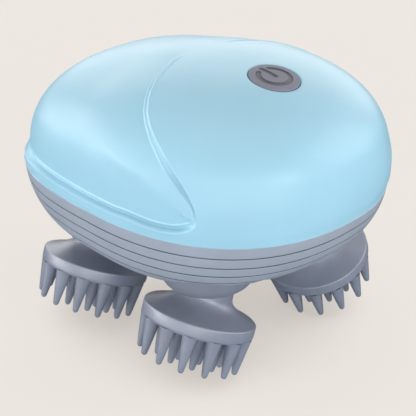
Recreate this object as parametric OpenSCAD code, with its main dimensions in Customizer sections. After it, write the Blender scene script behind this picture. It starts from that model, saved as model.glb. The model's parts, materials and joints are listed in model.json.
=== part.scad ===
// Electric scalp massager: an egg-shaped two-shell housing that fits the palm, with
// four tilted silicone massage heads turned by one small motor through spur gears.
// +X points to the button end, +Z up. The origin is on the surface it stands on,
// under the middle of the housing.

/* [Housing] */
// Length of the housing at the seam
body_length = 116; // [100:1:130]
// Width of the housing at the seam
body_width = 97.6; // [86:0.2:110]
// Height of the dome above the seam
dome_height = 39.2; // [34:0.1:46]
// Depth of the bowl below the seam
bowl_depth = 20.85; // [20:0.05:22]
// Wall thickness of both shells
wall = 2; // [1.6:0.1:2.4]
// Squareness of the plan outline at the button end
plan_exp_button = 2.28; // [2:0.01:2.6]
// Squareness of the plan outline at the tail end
plan_exp_tail = 3; // [2:0.05:3.4]
// Squareness of the plan at the top of the dome
plan_exp_top = 2.25; // [2:0.05:2.6]
// Extra width towards the button end
plan_egg = 0.042; // [0:0.001:0.1]
// Roundness of the dome in plan direction
dome_round = 2; // [1.9:0.01:2.3]
// Squareness of the dome in height
dome_square = 3.72; // [2.6:0.01:4]
// Forward lean of the dome per height
dome_lean = 0.068; // [0:0.001:0.15]
// Lean of the bowl per height
bowl_lean = 0.05; // [0:0.005:0.08]
// Roundness of the bowl in plan direction
bowl_round = 3.5; // [3:0.05:4]
// Squareness of the bowl in height
bowl_square = 1.53; // [1.4:0.01:1.7]
// Length of the bowl's flat base as a share of the seam length
base_share_x = 0.44; // [0.4:0.01:0.5]
// Width of the bowl's flat base as a share of the seam width
base_share_y = 0.634; // [0.55:0.002:0.7]
// Height between the ornamental grooves round the bowl
groove_pitch = 3.75; // [3.5:0.05:3.8]
// Depth of each ornamental groove
groove_depth = 0.5; // [0.2:0.05:0.8]

/* [Button] */
// Distance of the button's centre from the middle of the housing
button_x = 27.8; // [24:0.1:30]
// Diameter of the button cap
button_d = 16.4; // [14:0.2:17]
// Gap round the button cap
button_gap = 0.25; // [0.15:0.05:0.4]
// How far the button cap stands proud of the dome
button_proud = 0.4; // [0.2:0.05:0.8]
// Travel of the button
button_travel = 0.5; // [0.3:0.05:0.5]

/* [Massage heads] */
// Diameter of a massage head's disc
head_d = 35.4; // [32:0.2:36]
// Thickness of the disc's rim
rim_h = 3.6; // [3:0.1:4]
// Tilt of the disc to its shaft
head_tilt = 22; // [15:0.5:22]
// Height from the middle of the disc's lower face up to the shaft axis along the disc's normal
pivot_arm = 12.9; // [12:0.1:13]
// Depth of the middle of the disc's lower face below the seam
disc_drop = 36.4; // [36:0.1:38]
// Diameter of the neck above the disc
neck_d = 17; // [15:0.2:17.4]
// Height over which the neck flares out to the disc's rim
neck_flare_h = 6.9; // [5:0.1:7]
// Number of prongs in the outer ring
outer_prongs = 13; // [11:1:14]
// Number of prongs in the middle ring
middle_prongs = 9; // [7:1:9]
// Number of prongs in the inner ring
inner_prongs = 4; // [3:1:4]
// Radius of the outer ring of prongs
outer_ring_r = 15.2; // [14:0.1:15.3]
// Radius of the middle ring of prongs
middle_ring_r = 10; // [9:0.1:10.2]
// Radius of the inner ring of prongs
inner_ring_r = 4.6; // [4:0.1:4.8]
// Length of a prong from the disc to its tip
prong_l = 11.6; // [9:0.1:12]
// Diameter of a prong at the disc
prong_base_d = 4.6; // [4:0.1:5]
// Diameter of a prong's rounded tip
prong_tip_d = 1.9; // [1.8:0.1:2.4]
// Diameter of the collar round each head's neck
collar_d = 29.8; // [29:0.1:30]
// Depth of the collar's lower edge below the seam
collar_drop = 22.3; // [22:0.1:23]

/* [Gear train] */
// Module of the sun, head and idler pinion gears
drive_module = 1; // [1:1:1]
// Teeth of the sun gear
sun_teeth = 44; // [44:4:44]
// Teeth of each head gear
head_teeth = 24; // [24:2:24]
// Teeth of the idler's small pinion
idler_pinion_teeth = 12; // [12:1:12]
// Module of the motor pinion and the idler wheel
fast_module = 0.5; // [0.5:0.1:0.5]
// Teeth of the idler wheel
idler_teeth = 56; // [56:2:56]
// Teeth of the motor pinion
motor_teeth = 12; // [12:1:12]
// Face width of the sun and head gears
gear_face = 4; // [3:0.5:4]
// Tooth thinning that gives the gears their backlash
backlash = 0.16; // [0.1:0.01:0.25]
// Diameter of the output shafts and the sun gear's axle
shaft_d = 4; // [4:0.5:4]
// Diameter of the idler's axle
idler_axle_d = 3; // [2.5:0.1:3]
// Radial running clearance of shafts in their bores
running = 0.03; // [0.02:0.01:0.06]

/* [Power] */
// Diameter of the motor can
motor_d = 24.4; // [22:0.2:24.4]
// Length of the motor can with its cap
motor_l = 30.8; // [27:0.2:31]
// Diameter of the rechargeable cell
cell_d = 18.4; // [18:0.1:18.6]
// Length of the rechargeable cell
cell_l = 65; // [60:1:66]
// Distance of the cell's axis from the button end of the housing
cell_in = 32; // [31:0.5:33]
// Bore of the charging socket
socket_bore_d = 3.5; // [3.5:0.1:4]
// Depth of the charging socket below the seam
socket_drop = 5.2; // [5:0.1:5.4]

/* [Hidden] */

$fn = 64;
eps = 0.01;
half_l = body_length / 2;
half_w = body_width / 2;
ring_n = 72;           // points round each cross-section of a shell
shell_blue = [0.66, 0.84, 0.92];
bowl_grey = [0.62, 0.65, 0.72];
silicone_grey = [0.45, 0.47, 0.53];
dark_plastic = [0.22, 0.23, 0.26];
steel = [0.75, 0.76, 0.78];
acetal_white = [0.92, 0.92, 0.90];

// Places of the shafts, on a square set by the gears' centre distance
drive_distance = drive_module * (sun_teeth + head_teeth) / 2;
shaft_xy = drive_distance / sqrt(2);
idler_x = -drive_module * (sun_teeth + idler_pinion_teeth) / 2;
motor_x = idler_x + fast_module * (idler_teeth + motor_teeth) / 2;

// Height of the seam above the surface that the prongs stand on
lowest_prong = round(outer_prongs / 4);
tip_r = prong_tip_d / 2;
seam_z = disc_drop + outer_ring_r * sin(360 * lowest_prong / outer_prongs) * sin(head_tilt)
    + (prong_l - tip_r) * cos(head_tilt) + tip_r;
head_offset = pivot_arm * sin(head_tilt);

// Levels below the seam
plate_top = -3;
plate_t = 2;
plate_bottom = plate_top - plate_t;
gear_top = -9.9;
gear_bottom = gear_top - gear_face;
collar_top = -14.6;
floor_top = -bowl_depth + wall;
hub_top = -21;
seal_bottom = -20;
seal_h = 1.4;
shaft_end = -30;

// ---------- Housing surfaces ----------
function spow(v, e) = sign(v) * pow(abs(v), e);
// The plan grows rounder from the seam to the top of the dome
function plan_exp(x, z) = let (e = x >= 0 ? plan_exp_button : plan_exp_tail)
    e + (plan_exp_top - e) * max(0, z) / dome_height;
// Outline of a horizontal section, inset from the seam outline and scaled in X and Y
function outline(inset, kx, ky, z, lean) = [
    for (j = [0 : ring_n - 1])
        let (t = 360 * j / ring_n,
             n = plan_exp(cos(t), z),
             u = spow(cos(t), 2 / n),
             v = spow(sin(t), 2 / n))
        [(half_l - inset) * kx * u + lean * z, (half_w - inset) * ky * v * (1 + plan_egg * u), z]
];
function dome_share(z, h) = pow(cos(asin(pow(z / h, dome_square / 2))), 2 / dome_round);
function bowl_share(z, d) = pow(cos(asin(pow(min(1, -z / d), bowl_square / 2))), 2 / bowl_round);
function dome_ring(inset, z, h) = let (k = dome_share(z, h)) outline(inset, k, k, z, dome_lean);
function bowl_ring(inset, z, d) = let (s = bowl_share(z, d))
    outline(inset, base_share_x + (1 - base_share_x) * s,
            base_share_y + (1 - base_share_y) * s, z, bowl_lean);
function dome_level(i, steps, h) = h * pow(sin(90 * pow(i / steps, 1.6)), 2 / dome_square);
// Distance of the bowl's inner surface from the middle at the tail end
function bowl_inner_x(z) = -bowl_lean * z + (half_l - wall)
    * (base_share_x + (1 - base_share_x) * bowl_share(z, bowl_depth - wall));

// Height of the dome's surface over a point, with the lean worked in by repetition
function dome_at(x, y, h, z, n) = n == 0 ? z :
    let (xs = (x - dome_lean * z) / half_l,
         e = plan_exp(xs, z),
         r0 = max(0.01, pow(pow(abs(xs), e) + pow(abs(y / half_w), e), 1 / e)),
         ys = y / half_w / (1 + plan_egg * xs / r0),
         r = pow(pow(abs(xs), e) + pow(abs(ys), e), 1 / e),
         w = acos(min(1, pow(r, dome_round / 2))))
    dome_at(x, y, h, h * pow(sin(w), 2 / dome_square), n - 1);
function dome_z(x, y) = dome_at(x, y, dome_height, dome_height * 0.8, 6);
function bowl_inside(x, y, z) =
    let (s = bowl_share(z, bowl_depth),
         e = plan_exp(x, z),
         u = (x - bowl_lean * z) / half_l / (base_share_x + (1 - base_share_x) * s),
         v = y / half_w / (base_share_y + (1 - base_share_y) * s) / (1 + plan_egg * u))
    pow(abs(u), e) + pow(abs(v), e) < 1;
// Height of the bowl's outer surface under a point, by halving the interval
function bowl_at(x, y, lo, hi, n) = n == 0 ? (lo + hi) / 2 :
    let (mid = (lo + hi) / 2)
    bowl_inside(x, y, mid) ? bowl_at(x, y, lo, mid, n - 1) : bowl_at(x, y, mid, hi, n - 1);
function bowl_z(x, y) = bowl_at(x, y, -bowl_depth, 0, 12);

// Closed skin through a list of rings, with a pole at each end
module skin(first_pole, rings, last_pole) {
    n = len(rings);
    points = concat([first_pole], [for (r = rings) for (p = r) p], [last_pole]);
    polyhedron(
        points = points,
        faces = concat(
            [for (j = [0 : ring_n - 1]) [0, 1 + j, 1 + (j + 1) % ring_n]],
            [for (i = [0 : n - 2]) for (j = [0 : ring_n - 1])
                let (a = 1 + i * ring_n + j, b = 1 + i * ring_n + (j + 1) % ring_n)
                [a, a + ring_n, b]],
            [for (i = [0 : n - 2]) for (j = [0 : ring_n - 1])
                let (a = 1 + i * ring_n + j, b = 1 + i * ring_n + (j + 1) % ring_n)
                [b, a + ring_n, b + ring_n]],
            [for (j = [0 : ring_n - 1])
                [n * ring_n + 1, 1 + (n - 1) * ring_n + (j + 1) % ring_n, 1 + (n - 1) * ring_n + j]]
        ),
        convexity = 6
    );
}

flange_in = 5;      // inset of the rim flange's inner edge
flange_h = 3;       // height of the rim flange
gasket_in = 2.7;    // inset of the gasket groove's outer edge
gasket_w = 1;       // width of the gasket groove
gasket_h = 0.7;     // depth of the gasket groove in each shell
seam_bevel = 0.3;   // bevel at the outer edge of the seam

module dome_skin() {
    inner_n = 12;
    inner_h = dome_height - wall;
    rings = concat(
        [for (i = [inner_n - 1 : -1 : 1]) dome_ring(wall, dome_level(i, inner_n, inner_h), inner_h)],
        [outline(flange_in, 1, 1, flange_h, 0), outline(flange_in, 1, 1, 0, 0),
         outline(gasket_in + gasket_w, 1, 1, 0, 0), outline(gasket_in + gasket_w, 1, 1, gasket_h, 0),
         outline(gasket_in, 1, 1, gasket_h, 0), outline(gasket_in, 1, 1, 0, 0),
         outline(seam_bevel, 1, 1, 0, 0), dome_ring(0, seam_bevel, dome_height)],
        [for (i = [1 : outer_n - 1]) dome_ring(0, dome_level(i, outer_n, dome_height), dome_height)]
    );
    skin([dome_lean * inner_h, 0, inner_h], rings, [dome_lean * dome_height, 0, dome_height]);
}

groove_half = 0.3;  // half width of a groove's mouth
function groove_rings(z) = [
    bowl_ring(0, z - groove_half, bowl_depth),
    bowl_ring(groove_depth, z - groove_half / 2, bowl_depth),
    bowl_ring(groove_depth, z + groove_half / 2, bowl_depth),
    bowl_ring(0, z + groove_half, bowl_depth)
];

module bowl_skin() {
    inner_d = bowl_depth - wall;
    below = [0.9999, 0.995, 0.975, 0.935, 0.87];
    band = groove_pitch / 2;
    rings = concat(
        [for (k = below) bowl_ring(0, -bowl_depth * k, bowl_depth)],
        [for (g = [4 : -1 : 1]) for (r = groove_rings(-groove_pitch * g)) r],
        [bowl_ring(0, -band, bowl_depth), bowl_ring(0, -seam_bevel, bowl_depth),
         outline(seam_bevel, 1, 1, 0, 0),
         outline(gasket_in, 1, 1, 0, 0), outline(gasket_in, 1, 1, -gasket_h, 0),
         outline(gasket_in + gasket_w, 1, 1, -gasket_h, 0), outline(gasket_in + gasket_w, 1, 1, 0, 0),
         outline(flange_in, 1, 1, 0, 0), outline(flange_in, 1, 1, -flange_h, 0)],
        [for (k = [0.3, 0.45, 0.6, 0.75, 0.87, 0.95, 0.99, 0.9999]) bowl_ring(wall, -inner_d * k, inner_d)]
    );
    skin([0, 0, -bowl_depth], rings, [0, 0, -inner_d]);
}

// Keeps the part of a post that lies inside the bowl's mid-wall surface at its foot
module on_bowl(x, y) {
    d = 0.5;
    z = bowl_z(x, y);
    gx = (bowl_z(x + d, y) - bowl_z(x - d, y)) / (2 * d);
    gy = (bowl_z(x, y + d) - bowl_z(x, y - d)) / (2 * d);
    lean = atan(sqrt(gx * gx + gy * gy));
    mid = z + wall / 2 / cos(lean);
    difference() {
        translate([x, y, 0]) children();
        translate([x, y, mid]) rotate([0, lean, atan2(gy, gx) + 180]) translate([-20, -20, -30])
            cube([40, 40, 30]);
    }
}

// Keeps the part of a boss that lies inside the dome's mid-wall surface at its top
module under_dome(x, y) {
    d = 0.5;
    z = dome_z(x, y);
    gx = (dome_z(x + d, y) - dome_z(x - d, y)) / (2 * d);
    gy = (dome_z(x, y + d) - dome_z(x, y - d)) / (2 * d);
    lean = atan(sqrt(gx * gx + gy * gy));
    mid = z - wall / 2 / cos(lean);
    difference() {
        translate([x, y, 0]) children();
        translate([x, y, mid]) rotate([0, lean, atan2(gy, gx) + 180]) translate([-20, -20, 0])
            cube([40, 40, 40]);
    }
}

// ---------- Frames ----------
// The dome leans over the button end, so the housing's middle lies ahead of the seam's middle
outer_n = 16;           // steps of the dome's outer surface in height
button_end_x = max([for (i = [1 : outer_n - 1]) let (z = dome_level(i, outer_n, dome_height))
    half_l * dome_share(z, dome_height) + dome_lean * z]);
middle_x = (button_end_x - half_l) / 2;
module at_seam() translate([-middle_x, 0, seam_z]) children();

button_z = dome_z(button_x, 0);
button_lean = atan((dome_z(button_x - 1, 0) - dome_z(button_x + 1, 0)) / 2);
// Z runs out along the button's axis from the dome's surface
module at_button() at_seam() translate([button_x, 0, button_z]) rotate([0, button_lean, 0]) children();

// Shaft axis of one head; the heads on the two sides are mirror images
module at_head(sx, sy) at_seam() translate([sx * shaft_xy, sy * shaft_xy, 0])
    mirror([0, sy > 0 ? 1 : 0, 0]) children();

// Middle of a disc's lower face, with Z along the disc's normal
module at_disc() translate([0, -head_offset, -disc_drop]) rotate([-head_tilt, 0, 0]) children();

module all_heads() for (sx = [-1, 1]) for (sy = [-1, 1]) at_head(sx, sy) children();

module tube(r_out, r_in, z0, z1) translate([0, 0, z0]) difference() {
    cylinder(r = r_out, h = z1 - z0);
    translate([0, 0, -1]) cylinder(r = r_in, h = z1 - z0 + 2);
}
module rod(r, z0, z1) translate([0, 0, z0]) cylinder(r = r, h = z1 - z0);

// ---------- Housing ----------
case_screw_xy = [half_l - 15, half_w - 28.4];
case_screw_r = 1.3;
case_head_r = 2.6;
case_head_h = 2;
case_seat = -8;          // level of the screws' seats
column_r = 4;
post_xy = [12 - idler_x, case_screw_xy[1] - 7];
post_r = 2.8;
plate_screw_r = 1;
plate_head_r = 1.9;
screw_head_h = 1.3;
board_screw_y = 14;
board_top = -9;
board_t = 1.2;
board_screw_r = 1;
guide_r = 9.6;           // bore of the guide round the button
guide_wall = 1.4;
guide_end = -7;
socket_hole_r = 3.7;
socket_boss_r = 4.4;
socket_face_x = 0.1 - min(bowl_inner_x(-socket_drop - socket_boss_r), half_l - flange_in);

module four(xy) for (sx = [-1, 1]) for (sy = [-1, 1]) translate([sx * xy[0], sy * xy[1], 0]) children();

module top_shell() color(shell_blue) {
    difference() {
        union() {
            at_seam() dome_skin();
            at_seam() for (sx = [-1, 1]) for (sy = [-1, 1])
                under_dome(sx * case_screw_xy[0], sy * case_screw_xy[1]) rod(column_r - 0.5, 0, 40);
            at_button() tube(guide_r + guide_wall, guide_r, guide_end, -1.9);
            at_button() for (s = [-1, 1]) translate([0, s * board_screw_y, 0]) rod(2.4, board_top, -1.9);
        }
        at_button() rod(button_d / 2 + button_gap, -4, 4);
        at_seam() four(case_screw_xy) rod(case_screw_r, -1, 12);
        at_button() for (s = [-1, 1]) translate([0, s * board_screw_y, board_top - 1]) rod(board_screw_r, 0, 5);
    }
}

module bottom_shell() color(bowl_grey) at_seam() difference() {
    union() {
        difference() {
            bowl_skin();
            four([shaft_xy, shaft_xy]) rod(collar_d / 2, -30, -8);
        }
        for (sx = [-1, 1]) for (sy = [-1, 1]) {
            on_bowl(sx * case_screw_xy[0], sy * case_screw_xy[1]) rod(column_r, -25, -eps);
            on_bowl(sx * post_xy[0], sy * post_xy[1]) rod(post_r, -25, plate_bottom);
        }
        rod(4.5, floor_top - 1, gear_bottom - 0.5);
        translate([idler_x, 0, 0]) rod(4, floor_top - 0.9, gear_bottom - 0.5);
        translate([-half_l + 2.6, 0, -socket_drop]) rotate([0, 90, 0])
            rod(socket_boss_r, 0, socket_face_x + half_l - 2.6);
    }
    four(case_screw_xy) {
        rod(case_screw_r + 0.1, -30, 1);
        rod(case_head_r + 0.2, -30, case_seat);
    }
    four(post_xy) rod(plate_screw_r, plate_bottom - 7, 0);
    rod(shaft_d / 2, floor_top, 0);
    translate([idler_x, 0, 0]) rod(idler_axle_d / 2, floor_top + 0.2, 0);
    translate([-half_l - 5, 0, -socket_drop]) rotate([0, 90, 0]) rod(socket_hole_r, 0, 20);
}

module shell_gasket() color(dark_plastic) at_seam() translate([0, 0, -gasket_h + 0.05])
    linear_extrude(2 * gasket_h - 0.1) difference() {
        polygon([for (p = outline(gasket_in + 0.05, 1, 1, 0, 0)) [p[0], p[1]]]);
        polygon([for (p = outline(gasket_in + gasket_w - 0.05, 1, 1, 0, 0)) [p[0], p[1]]]);
    }

// Round-headed screw standing on its head, with a cross recess; z = 0 is the head's seat
module screw(r, l, head_r, head_h) {
    difference() {
        union() {
            rod(r, -eps, l);
            rod(head_r, -head_h, 0);
        }
        translate([0, 0, -head_h - eps]) {
            translate([-head_r * 0.55, -0.25, 0]) cube([head_r * 1.1, 0.5, head_h * 0.55]);
            translate([-0.25, -head_r * 0.55, 0]) cube([0.5, head_r * 1.1, head_h * 0.55]);
        }
    }
}

module case_screws() color(steel) at_seam() four(case_screw_xy)
    translate([0, 0, case_seat]) screw(case_screw_r, 18, case_head_r, case_head_h);

// ---------- Button, switch and board ----------
cap_r = button_d / 2;
cap_crown = 60;          // radius of the cap's crowned top
flange_top = -3.5;
flange_t = 0.6;
stem_r = 2.4;
stem_end = -6;
seal_gap = 0.1;

module power_symbol(depth) {
    ring_r = cap_r * 0.60;
    line = 1.15;
    translate([0, 0, button_proud - depth]) {
        difference() {
            tube(ring_r + line / 2, ring_r - line / 2, -0.2, 3);
            translate([-ring_r - line, -1.7, -1]) cube([ring_r + line, 3.4, 5]);
        }
        translate([-ring_r - line / 2, -line / 2, -0.2]) cube([ring_r + line * 0.7, line, 3]);
    }
}

module button_cap() color([0.55, 0.58, 0.66]) at_button() {
    difference() {
        rotate_extrude() polygon(concat(
            [[0, flange_top - flange_t / 2], [cap_r, flange_top - flange_t / 2]],
            [for (i = [8 : -1 : 0]) let (r = cap_r * i / 8)
                [r, button_proud - cap_crown + sqrt(cap_crown * cap_crown - r * r)]]));
        power_symbol(0.25);
    }
    rod(guide_r - 0.35, flange_top - flange_t, flange_top);
    rod(stem_r, stem_end, flange_top - flange_t / 2);
}

module button_seal() color([0.3, 0.3, 0.33]) at_button()
    tube(guide_r, stem_r + seal_gap, flange_top - flange_t - button_travel - 0.8,
         flange_top - flange_t - button_travel - 0.15);

module switch_plunger() color(dark_plastic) at_button() rod(1.7, stem_end - 1.4, stem_end);

module switch_body() color([0.12, 0.12, 0.13]) at_button() difference() {
    translate([-3, -3, board_top]) cube([6, 6, 2.2]);
    rod(1.75, board_top + 0.6, 0);
}

board_x = [-15, 14];
board_half_y = 17.5;
module circuit_board() color([0.08, 0.35, 0.2]) at_button() difference() {
    union() {
        translate([board_x[0], -board_half_y, board_top - board_t])
            cube([board_x[1] - board_x[0], 2 * board_half_y, board_t]);
        translate([-12, -9, board_top - board_t - 1.6]) cube([7, 7, 1.7]);
        translate([5, 3, board_top - board_t - 1.2]) cube([5, 6, 1.3]);
        translate([-11, 5, board_top - board_t - 3.5]) cube([5.5, 7, 3.6]);
    }
    for (s = [-1, 1]) translate([0, s * board_screw_y, 0]) rod(board_screw_r + 0.15, board_top - 5, 0);
}

module board_screws() color(steel) at_button() for (s = [-1, 1])
    translate([0, s * board_screw_y, board_top - board_t]) screw(board_screw_r, 4.8, 1.8, screw_head_h);

// ---------- Gears ----------
function involute(a) = tan(a) * 180 / PI - a;
// Half the tooth's angle at a radius; below the base circle the flank narrows towards the root
function half_tooth(m, z, r) =
    let (pitch_r = m * z / 2,
         base_r = pitch_r * cos(20),
         at_pitch = 90 / z - backlash / 4 / pitch_r * 180 / PI + involute(20))
    r >= base_r ? at_pitch - involute(acos(base_r / r)) : at_pitch * (0.72 + 0.28 * r / base_r);

module gear_outline(m, z, phase) {
    root_r = m * (z / 2 - 1.25);
    tip_r = m * (z / 2 + 0.9);
    base_r = m * z / 2 * cos(20);
    low = max(root_r, base_r);
    radii = [root_r, low + 0.02 * m, low + (tip_r - low) * 0.33, low + (tip_r - low) * 0.67, tip_r];
    polygon([for (k = [0 : z - 1])
        let (mid = phase + 360 * k / z)
        each concat(
            [for (r = radii) let (a = mid - half_tooth(m, z, r)) r * [cos(a), sin(a)]],
            [for (i = [4 : -1 : 0]) let (r = radii[i], a = mid + half_tooth(m, z, r)) r * [cos(a), sin(a)]]
        )]);
}

module gear_wheel(m, z, phase, z0, z1) translate([0, 0, z0]) linear_extrude(z1 - z0)
    gear_outline(m, z, phase);

module sun_gear() color(acetal_white) at_seam() difference() {
    union() {
        gear_wheel(drive_module, sun_teeth, 0, gear_bottom, gear_top);
        rod(4.5, gear_bottom, plate_bottom - 0.4);
    }
    rod(shaft_d / 2 + running, gear_bottom - 1, 0);
    for (a = [0 : 60 : 300]) rotate(a + 30) translate([13, 0, 0]) rod(3.6, gear_bottom - 1, gear_top + 1);
}
module sun_axle() color(steel) at_seam() rod(shaft_d / 2, floor_top, plate_top);

idler_wheel_t = 2.5;
idler_wheel_z = -9.2;
module idler_gear() color(acetal_white) at_seam() translate([idler_x, 0, 0]) difference() {
    union() {
        gear_wheel(drive_module, idler_pinion_teeth, 180 / idler_pinion_teeth, gear_bottom, idler_wheel_z);
        gear_wheel(fast_module, idler_teeth, 0, idler_wheel_z, idler_wheel_z + idler_wheel_t);
        rod(3.2, idler_wheel_z, plate_bottom - 0.4);
    }
    rod(idler_axle_d / 2 + running, gear_bottom - 1, 0);
}
module idler_axle() color(steel) at_seam() translate([idler_x, 0, 0])
    rod(idler_axle_d / 2, floor_top + 0.2, plate_top);

// ---------- Gear plate ----------
plate_half = [post_xy[0] - 2, shaft_xy + 13];
plate_corner = 13;
module plate_outline() {
    square([2 * (plate_half[0] - plate_corner), 2 * plate_half[1]], center = true);
    square([2 * plate_half[0], 2 * (plate_half[1] - plate_corner)], center = true);
    for (sx = [-1, 1]) for (sy = [-1, 1])
        translate([sx * (plate_half[0] - plate_corner), sy * (plate_half[1] - plate_corner)])
            circle(r = plate_corner);
    square([2 * post_xy[0] + 7, 2 * post_xy[1] + 6], center = true);
}
bush_r = 3.5;
bush_bottom = -7;
motor_boss_r = 3;
motor_screw_y = 8;
module gear_plate() color([0.85, 0.85, 0.83]) at_seam() difference() {
    union() {
        translate([0, 0, plate_bottom]) linear_extrude(plate_t) plate_outline();
        four([shaft_xy, shaft_xy]) rod(5.2, bush_bottom, plate_bottom + 1);
    }
    four([shaft_xy, shaft_xy]) rod(bush_r, bush_bottom - 1, 0);
    four(post_xy) rod(plate_screw_r + 0.15, -10, 0);
    rod(shaft_d / 2, -10, 0);
    translate([idler_x, 0, 0]) rod(idler_axle_d / 2, -10, 0);
    translate([motor_x, 0, 0]) {
        rod(motor_boss_r + 0.05, -10, 0);
        for (s = [-1, 1]) translate([0, s * motor_screw_y, 0]) rod(1.15, -10, 0);
    }
    translate([-post_xy[0] - 10, -5, -10]) cube([9, 10, 12]);
}
module plate_screws() color(steel) at_seam() four(post_xy)
    translate([0, 0, plate_top]) mirror([0, 0, 1]) screw(plate_screw_r, 8, plate_head_r, screw_head_h);

// ---------- Motor ----------
can_t = 0.8;
motor_cap_h = 2.8;
motor_shaft_r = 1;
can_top = plate_top + motor_l - motor_cap_h;
module at_motor() at_seam() translate([motor_x, 0, 0]) children();

module motor_can() color(steel) at_motor() difference() {
    union() {
        rod(motor_d / 2, plate_top, can_top);
        rod(motor_boss_r, plate_bottom + 0.3, plate_top + 0.1);
    }
    rod(motor_d / 2 - can_t, plate_top + 1.2, can_top + 1);
    rod(motor_shaft_r + running, -8, 5);
    for (s = [-1, 1]) translate([0, s * motor_screw_y, 0]) rod(1, plate_top - 1, plate_top + 3);
}
module motor_magnets() color([0.25, 0.24, 0.24]) at_motor() difference() {
    tube(motor_d / 2 - can_t, 8.9, plate_top + 4, can_top - 4);
    for (y = [7.5, -27.5]) translate([-20, y, -10]) cube([40, 20, 50]);
}
module motor_cap() color([0.9, 0.9, 0.88]) at_motor() difference() {
    union() {
        rod(motor_d / 2, can_top, can_top + motor_cap_h - 0.8);
        rod(motor_d / 2 - can_t, can_top - 1.5, can_top + 0.5);
        rod(3, can_top, can_top + motor_cap_h);
    }
    rod(motor_shaft_r + running, can_top - 3, can_top + motor_cap_h - 0.6);
}
module motor_armature() color([0.7, 0.45, 0.25]) at_motor() {
    rod(motor_shaft_r, -9.5, can_top + motor_cap_h - 0.9);
    rod(8.3, plate_top + 5, can_top - 7);
    rod(3.4, can_top - 7.5, can_top - 3);
}
module motor_pinion() color([0.8, 0.66, 0.35]) at_motor() difference() {
    gear_wheel(fast_module, motor_teeth, 180 / motor_teeth, -9.3, -6.5);
    rod(motor_shaft_r, -10, 0);
}
module motor_screws() color(steel) at_motor() for (s = [-1, 1])
    translate([0, s * motor_screw_y, plate_bottom]) screw(1, 4, 1.8, screw_head_h);

// ---------- Cell and charging socket ----------
holder_t = 1.5;
cell_x = half_l - cell_in;
cell_z = plate_top + holder_t + cell_d / 2;
module battery_cell() color([0.25, 0.45, 0.7]) at_seam() translate([cell_x, 0, cell_z]) rotate([90, 0, 0]) {
    rod(cell_d / 2, -cell_l / 2, cell_l / 2 - 1);
    rod(4, cell_l / 2 - 1.5, cell_l / 2);
}
module battery_holder() color(dark_plastic) at_seam() {
    r = cell_d / 2;
    end_y = cell_l / 2;
    difference() {
        union() {
            translate([cell_x - 10.6, -end_y - 1.6, plate_top]) cube([21.2, cell_l + 3.2, holder_t]);
            for (s = [-1, 1]) translate([cell_x - 10.6, s > 0 ? end_y : -end_y - 1.6, plate_top])
                cube([21.2, 1.6, cell_d * 0.8]);
            for (y = [-20, 20]) translate([cell_x - r - 1.4, y - 4, plate_top])
                cube([2 * r + 2.8, 8, cell_d * 0.72]);
        }
        translate([cell_x, 0, cell_z]) rotate([90, 0, 0]) rod(r, -end_y, end_y);
    }
}

socket_l = 8.6;
socket_back = socket_face_x + socket_l;
socket_box = [socket_l, 8, 6];
module charging_socket() color([0.1, 0.1, 0.11]) at_seam()
    translate([socket_face_x, 0, -socket_drop]) difference() {
        union() {
            translate([0.6, -socket_box[1] / 2, -socket_box[2] / 2])
                cube([socket_box[0] - 0.6, socket_box[1], socket_box[2]]);
            rotate([0, 90, 0]) rod(3, -1.6, 1);
        }
        rotate([0, 90, 0]) rod(socket_bore_d / 2, -3, 7.6);
    }
module socket_seal() color([0.3, 0.3, 0.33]) at_seam()
    translate([socket_face_x, 0, -socket_drop]) rotate([0, 90, 0]) tube(socket_boss_r, 3, 0, 0.6);

// ---------- Wires ----------
wire_r = 0.55;
// Round wire through a list of points
module wire(pts) {
    for (i = [0 : len(pts) - 2]) {
        v = pts[i + 1] - pts[i];
        translate(pts[i]) rotate([0, acos(v[2] / norm(v)), atan2(v[1], v[0])])
            cylinder(r = wire_r, h = norm(v), $fn = 24);
    }
    for (i = [1 : len(pts) - 2]) translate(pts[i]) sphere(r = wire_r * 1.02, $fn = 24);
}
board_low = button_z + (board_top - board_t) * cos(button_lean);
module motor_wires() color([0.75, 0.15, 0.12]) at_seam() for (s = [-1, 1])
    wire([[motor_x + 4, s * 6, can_top + 1.5], [motor_x + 4, s * 6, 31], [8, s * 6.5, 31.5],
          [16, s * 6.5, board_low - 4.5], [16.6, s * 6.5, board_low + 2]]);
module battery_wires() color([0.1, 0.1, 0.1]) at_seam() for (s = [-1, 1])
    wire([[cell_x + 6, s * (cell_l / 2 + 0.8), 4], [cell_x + 6, s * (cell_l / 2 + 3.5), 14],
          [button_x + 3, s * 20, 20.5], [button_x + 3, s * 8.5, board_low - 1]]);
module charging_wires() color([0.9, 0.9, 0.9]) at_seam() for (s = [-1, 1])
    wire([[socket_back - 0.3, s * 2.5, -4.5], [socket_back + 4.7, s * 2.5, 2.5],
          [motor_x - 19, s * 15, 4], [motor_x + 2, s * 17, 14],
          [6, s * 15, 24], [15, s * 11.5, board_low - 3], [16.5, s * 11.5, board_low + 2]]);

// ---------- Head drive ----------
module lower_bushes() color([0.72, 0.55, 0.3]) all_heads()
    tube(4, shaft_d / 2 + running, seal_bottom + seal_h, collar_top);
module upper_bushes() color([0.72, 0.55, 0.3]) all_heads()
    tube(bush_r, shaft_d / 2 + running, bush_bottom, plate_top);
module shaft_seals() color([0.15, 0.15, 0.16]) all_heads()
    tube(5, shaft_d / 2 + running, seal_bottom, seal_bottom + seal_h);

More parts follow.
